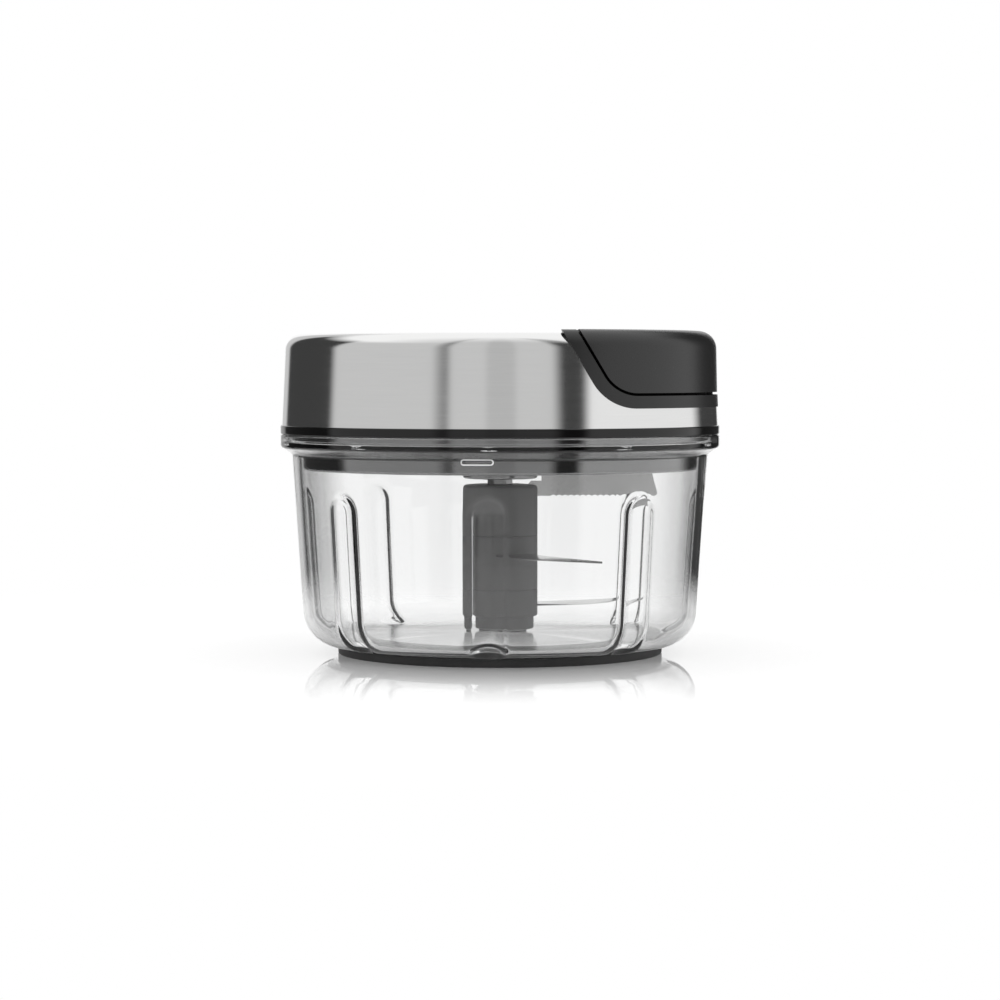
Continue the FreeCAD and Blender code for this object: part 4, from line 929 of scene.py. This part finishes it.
class CHOPPER_OT_lid(bpy.types.Operator):
    """Build the lid's base with its seal, and the steel cover"""
    bl_idname = "chopper.lid"
    bl_label = "Lid"

    def execute(self, context):
        sizes = context.scene.chopper_lid
        skirt_low = sizes.flange_bottom - sizes.skirt_depth
        skirt_inner = sizes.skirt_radius - sizes.skirt_wall
        floor_low = skirt_low + sizes.floor_recess
        floor_top = floor_low + sizes.floor_wall
        step_low = sizes.flange_bottom - sizes.step_height
        groove = sizes.skirt_radius - sizes.groove_depth
        bore, soft, inner_soft, edge_soft = 0.005, 0.0004, 0.0006, 0.0008
        base = turned("lid_underside", rounded([
            (bore, sizes.hub_bottom), (sizes.hub_radius, sizes.hub_bottom, sizes.hub_rounding),
            (sizes.hub_radius, floor_low, inner_soft), (skirt_inner, floor_low, inner_soft),
            (skirt_inner, skirt_low, inner_soft), (sizes.skirt_radius, skirt_low, edge_soft),
            (sizes.skirt_radius, sizes.seal_bottom), (groove, sizes.seal_bottom),
            (groove, sizes.seal_top), (sizes.skirt_radius, sizes.seal_top),
            (sizes.skirt_radius, step_low), (sizes.step_radius, step_low, soft),
            (sizes.step_radius, sizes.flange_bottom),
            (sizes.flange_radius, sizes.flange_bottom, soft),
            (sizes.flange_radius, sizes.flange_top, soft),
            (skirt_inner, sizes.flange_top), (skirt_inner, floor_top),
            (bore, floor_top)], 5))
        key_half, key_depth = sizes.key_width / 2, 0.001
        key_low, key_high = step_low - sizes.key_drop, sizes.flange_bottom - soft
        key = slab("lid_key", [(-key_half, key_low), (key_half, key_low), (key_half, key_high),
                               (-key_half, key_high)], key_depth, key_depth - sizes.key_reach)
        join_shape(base, key, "UNION")
        smooth(base)
        dress(base, "lid", "black_gloss", "lid_base")
        seal = turned("seal_ring", rounded([
            (groove, sizes.seal_bottom), (sizes.seal_radius, sizes.seal_bottom, soft),
            (sizes.seal_radius, sizes.seal_top, soft), (groove, sizes.seal_top)], 4))
        dress(seal, "lid", "seal_rubber", "lid_seal")
        top_radius = sizes.cover_radius - sizes.cover_draft
        wall = sizes.cover_wall
        cover = turned("steel_cover", rounded([
            (sizes.cover_radius, sizes.flange_top),
            (top_radius, sizes.cover_top, sizes.cover_rounding),
            (0, sizes.cover_top), (0, sizes.cover_top - wall),
            (top_radius - wall, sizes.cover_top - wall, sizes.cover_rounding - wall),
            (sizes.cover_radius - wall, sizes.flange_top)], 16), 384)
        handle = context.scene.chopper_handle
        join_shape(cover, handle_side(handle, 0.0), "DIFFERENCE")
        smooth(cover)
        dress(cover, "lid", "brushed_cover", "lid_cover")
        dress_nodes("lower_bush", "spindle_seal", "housing_screws", "lid_housing", "upper_bush")
        return {"FINISHED"}


def rib_band(sizes, low, high, width, y):
    """Strip between two faces parallel to the dock's, for a rib or for its groove."""
    band = handle_side(sizes, low, width / 2, y)
    join_shape(band, handle_side(sizes, high, width, y), "DIFFERENCE")
    return band


class CHOPPER_OT_dock(bpy.types.Operator):
    """Build the dock that the handle rests in"""
    bl_idname = "chopper.dock"
    bl_label = "Dock"

    def execute(self, context):
        sizes = context.scene.chopper_handle
        lid = context.scene.chopper_lid
        cord_sizes = context.scene.chopper_cord
        # Its top is flush with the cover's but for a lip along its round edge
        dock_top_radius = sizes.dock_radius - lid.cover_draft
        dock = turned("handle_rest", rounded([
            (0, lid.flange_top), (sizes.dock_radius, lid.flange_top),
            (dock_top_radius, sizes.dock_top, lid.cover_rounding),
            (dock_top_radius - sizes.lip, sizes.dock_top),
            (dock_top_radius - sizes.lip_end, lid.cover_top),
            (0, lid.cover_top)], 12))
        join_shape(dock, handle_side(sizes, 0.0), "INTERSECT")
        join_shape(dock, handle_side(sizes, sizes.trim), "DIFFERENCE")
        join_shape(dock, cord_bar("eyelet_hole", cord_sizes, cord_sizes.eyelet_radius),
                   "DIFFERENCE")
        room_radius = sizes.grip_radius - sizes.grip_draft - sizes.grip_wall - sizes.rib_gap
        room_top = sizes.grip_top - sizes.grip_wall - sizes.rib_gap
        for y in (sizes.rib_offset, -sizes.rib_offset):
            rib = rib_band(sizes, sizes.trim / 2, sizes.trim + sizes.rib_reach,
                           sizes.rib_width, y)
            room = turned("rib_room", [(0, sizes.corner_z), (room_radius, sizes.corner_z),
                                       (room_radius, room_top), (0, room_top)], 96)
            join_shape(rib, room, "INTERSECT")
            join_shape(dock, rib, "UNION")
        # A third, thin rib keeps light out of the gap along the shelf
        stop = rib_band(sizes, sizes.trim / 2, sizes.trim + sizes.stop_reach,
                        sizes.rib_width, 0.0)
        stop_end = sizes.grip_radius - sizes.stop_inset
        stop_top = sizes.corner_z + sizes.stop_room
        shelf = turned("shelf_room", [
            (sizes.stop_start, sizes.corner_z), (stop_end, sizes.corner_z),
            (stop_end, stop_top), (sizes.stop_start, stop_top)], 96)
        join_shape(stop, shelf, "INTERSECT")
        join_shape(dock, stop, "UNION")
        smooth(dock)
        dress(dock, "lid", "trim_black", "handle_dock")
        dress_nodes("cord_eyelet")
        return {"FINISHED"}


class CHOPPER_OT_mechanism(bpy.types.Operator):
    """Finish the drum, the spring and the spindle inside the lid"""
    bl_idname = "chopper.mechanism"
    bl_label = "Mechanism"

    def execute(self, context):
        dress_nodes("spring_housing", "recoil_spring", "cord_run", "cord_drum",
                    "cord_winding", "drive_spindle", "retaining_clip")
        return {"FINISHED"}


# Handle and cord ----------------------------------------------------------------------------

def cord_bar(name, sizes, radius):
    """Round bar along the cord's line, from the axis outwards."""
    end, high = sizes.hole_reach, sizes.height + radius
    return turned(name, [(0, sizes.height), (end, sizes.height), (end, high), (0, high)], 48,
                  axis=(1, 0, 0), centre=(0, 0, sizes.height))


class CHOPPER_OT_handle(bpy.types.Operator):
    """Build the pull handle: its rounded shell and its sloping back"""
    bl_idname = "chopper.handle"
    bl_label = "Handle"

    def execute(self, context):
        sizes = context.scene.chopper_handle
        cord_sizes = context.scene.chopper_cord
        low = context.scene.chopper_lid.flange_top
        wall = sizes.grip_wall
        face = sizes.trim + sizes.gap
        top_radius = sizes.grip_radius - sizes.grip_draft

        def inside(name, floor):
            return dome(name, sizes.grip_radius - wall, top_radius - wall, floor,
                        sizes.grip_top - wall, sizes.grip_rounding - wall)

        shell = dome("grip_shell", sizes.grip_radius, top_radius, low, sizes.grip_top,
                     sizes.grip_rounding)
        join_shape(shell, inside("hollow", low - 0.001), "DIFFERENCE")
        join_shape(shell, handle_side(sizes, face), "INTERSECT")
        smooth(shell)
        dress(shell, "handle", "handle_black", "handle_shell")
        back = inside("grip_back", low)
        join_shape(back, handle_side(sizes, face), "INTERSECT")
        join_shape(back, handle_side(sizes, face + wall), "DIFFERENCE")
        for y in (sizes.rib_offset, -sizes.rib_offset):
            groove = rib_band(sizes, sizes.trim, sizes.trim + sizes.rib_reach + sizes.rib_gap,
                              sizes.rib_width + 2 * sizes.rib_gap, y)
            join_shape(back, groove, "DIFFERENCE")
        join_shape(back, cord_bar("cord_hole", cord_sizes, cord_sizes.hole), "DIFFERENCE")
        smooth(back)
        dress(back, "handle", "trim_black", "handle_back")
        dress_nodes("handle_screws", "cord_anchor")
        return {"FINISHED"}


class CHOPPER_OT_cord(bpy.types.Operator):
    """Build the cord between the eyelet and its stop, at rest; on the chopper it pays out with the
    handle
    """
    bl_idname = "chopper.cord"
    bl_label = "Cord"

    def execute(self, context):
        sizes = context.scene.chopper_cord
        low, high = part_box("cord_tail")
        start, end = low[0], high[0]
        high = sizes.height + sizes.radius
        outline = [(start, sizes.height), *line((start, high), (end, high), 48), (end, high),
                   (end, sizes.height)]
        tail = turned("pull_cord", outline, 24, axis=(1, 0, 0), centre=(0, 0, sizes.height))
        tail.data.materials.append(material("cord"))
        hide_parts("cord_tail")
        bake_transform(tail)
        return {"FINISHED"}


# Stage --------------------------------------------------------------------------------------

# Light panels and dark gaps round the studio: (start, end, light), with azimuths in degrees
# from the camera's side towards +X. Between two of them the light changes evenly
BRIGHT, SOFT, DIM, DARK = 0.85, 0.6, 0.5, 0.05
PANELS = [(-180, -169, 1.0), (-166, -154, SOFT), (-150, -101, DARK), (-96, -36, SOFT),
          (-30, -28, 0.25), (-25, -8, SOFT), (-6, 7, DIM), (9, 27, SOFT), (33, 43, DARK),
          (48, 120, BRIGHT), (130, 164, DARK), (167, 180, 1.0)]


def make_world():
    world = bpy.data.worlds.new("studio")
    world.use_nodes = True
    world.cycles.sampling_method = "NONE"
    tree = world.node_tree
    tree.nodes.clear()
    way = node(tree, "TexCoord").outputs["Generated"]
    x, y, z = node(tree, "SeparateXYZ", {"Vector": way}).outputs
    turn = calc(tree, "ARCTAN2", x, calc(tree, "MULTIPLY", y, -1.0))
    azimuth = calc(tree, "ADD", calc(tree, "DIVIDE", turn, 2 * math.pi), 0.5)
    panels = ramp(tree, azimuth, [(turn / 360 + 0.5, light) for start, end, light in PANELS
                                  for turn in (start, end)])
    # A soft light overhead, which starts in front of the object
    overhead = calc(tree, "MULTIPLY", ramp(tree, z, [(0.55, 0.0), (0.7, 1.0)]),
                    ramp(tree, calc(tree, "ADD", y, 1.0), [(0.3, 0.0), (1.0, 1.0)]))
    lit = mix(tree, overhead, panels, WHITE)
    # Only mirrored rays see the panels: the rest is white
    path = node(tree, "LightPath").outputs
    mirrored = calc(tree, "MULTIPLY", calc(tree, "MINIMUM", path["Glossy Depth"], 1.0),
                    calc(tree, "SUBTRACT", 1.0, path["Is Diffuse Ray"]))
    light = mix(tree, mirrored, WHITE, lit)
    background = node(tree, "Background", {"Color": light, "Strength": 1.0})
    node(tree, "OutputWorld", {"Surface": background.outputs[0]})
    bpy.context.scene.world = world


def floor_material(sizes):
    """White floor: a soft shadow, a painted pool of light inside the foot ring, and a gloss that
    fades away from the object.
    """
    made = bpy.data.materials.new("white_floor")
    made.use_nodes = True
    tree = made.node_tree
    tree.nodes.clear()
    matte = node(tree, "BsdfDiffuse", {"Color": (*sizes.floor_colour, 1.0)})
    path = node(tree, "LightPath").outputs
    seen = calc(tree, "SUBTRACT", 1.0, path["Is Diffuse Ray"])
    away = node(tree, "VectorMath", {0: place_of(tree)}, operation="LENGTH").outputs["Value"]
    # A painted pool of light on the floor inside the ring, standing in for light that the clear
    # bowl lets through
    ring_inner, ring_middle, painted_pool_glow, glow_outside = 0.04, 0.046, 0.8, 0.3
    level = change(tree, away, ring_inner, ring_middle, painted_pool_glow, glow_outside)
    glow = node(tree, "Emission", {"Color": WHITE, "Strength": calc(tree, "MULTIPLY", seen, level)})
    base = node(tree, "AddShader", {0: matte.outputs[0], 1: glow.outputs[0]})
    # It mirrors most near the object, and where it is seen edge on
    near = change(tree, away, sizes.mirror_start, sizes.mirror_end, sizes.mirror, 0.0,
                  interpolation_type="SMOOTHSTEP")
    facing = node(tree, "LayerWeight", {"Blend": 0.5}).outputs["Facing"]
    edge_on = change(tree, facing, 0.82, 0.88, 0.2, 1.0)
    gloss = node(tree, "BsdfGlossy", {"Color": WHITE, "Roughness": 0.02})
    whole = node(tree, "MixShader", {0: calc(tree, "MULTIPLY", near, edge_on),
                                     1: base.outputs[0], 2: gloss.outputs[0]})
    there = change(tree, away, sizes.mirror_start, sizes.floor_side / 2, 1.0, 0.0,
                   interpolation_type="SMOOTHSTEP")
    clear = node(tree, "BsdfTransparent")
    soft = node(tree, "MixShader", {0: there, 1: clear.outputs[0], 2: whole.outputs[0]})
    node(tree, "OutputMaterial", {"Surface": soft.outputs[0]})
    return made


class CHOPPER_OT_stage(bpy.types.Operator):
    """Set the white floor, the studio's light and the camera"""
    bl_idname = "chopper.stage"
    bl_label = "Stage"

    def execute(self, context):
        sizes = context.scene.chopper_stage
        bpy.ops.object.select_all(action="DESELECT")
        bpy.ops.mesh.primitive_plane_add(size=sizes.floor_side)
        floor = context.object
        floor.name = "floor"
        floor.data.materials.append(floor_material(sizes))
        make_world()
        bpy.ops.object.camera_add(
            location=(0, -sizes.camera_distance, sizes.camera_height),
            rotation=(math.pi / 2 - sizes.camera_tilt, 0, 0))
        camera = context.object
        camera.data.lens = sizes.lens
        camera.data.sensor_width = 36.0
        context.scene.camera = camera
        context.scene.view_settings.view_transform = "Standard"
        return {"FINISHED"}


# Add-on -------------------------------------------------------------------------------------

GROUPS = {
    "chopper_bowl": BowlSizes,
    "chopper_blades": BladeSizes,
    "chopper_lid": LidSizes,
    "chopper_handle": HandleSizes,
    "chopper_cord": CordSizes,
    "chopper_finish": FinishColours,
    "chopper_stage": StageSizes,
}
OPERATORS = (CHOPPER_OT_bowl, CHOPPER_OT_blades, CHOPPER_OT_lid, CHOPPER_OT_dock,
             CHOPPER_OT_mechanism, CHOPPER_OT_handle, CHOPPER_OT_cord, CHOPPER_OT_stage)


class CHOPPER_PT_panel(bpy.types.Panel):
    """Lists the chopper's pieces and their sizes"""
    bl_idname = "CHOPPER_PT_panel"
    bl_label = "Food Chopper"
    bl_space_type = "VIEW_3D"
    bl_region_type = "UI"
    bl_category = "Chopper"

    def draw(self, context):
        for operator in OPERATORS:
            self.layout.operator(operator.bl_idname)
        for name, group in GROUPS.items():
            box = self.layout.box()
            for prop in group.__annotations__:
                box.prop(getattr(context.scene, name), prop)


CLASSES = (*GROUPS.values(), *OPERATORS, CHOPPER_PT_panel)


def register():
    for group in GROUPS.values():
        for name, prop in group.__annotations__.items():
            prop.keywords["name"] = name.replace("_", " ").capitalize()
    for kind in CLASSES:
        bpy.utils.register_class(kind)
    for name, group in GROUPS.items():
        setattr(bpy.types.Scene, name, bpy.props.PointerProperty(type=group))


def unregister():
    for name in GROUPS:
        delattr(bpy.types.Scene, name)
    for kind in reversed(CLASSES):
        bpy.utils.unregister_class(kind)


def main():
    register()
    bpy.ops.chopper.bowl()
    bpy.ops.chopper.blades()
    bpy.ops.chopper.lid()
    bpy.ops.chopper.dock()
    bpy.ops.chopper.mechanism()
    bpy.ops.chopper.handle()
    bpy.ops.chopper.cord()
    bpy.ops.chopper.stage()


if __name__ == "__main__":
    main()
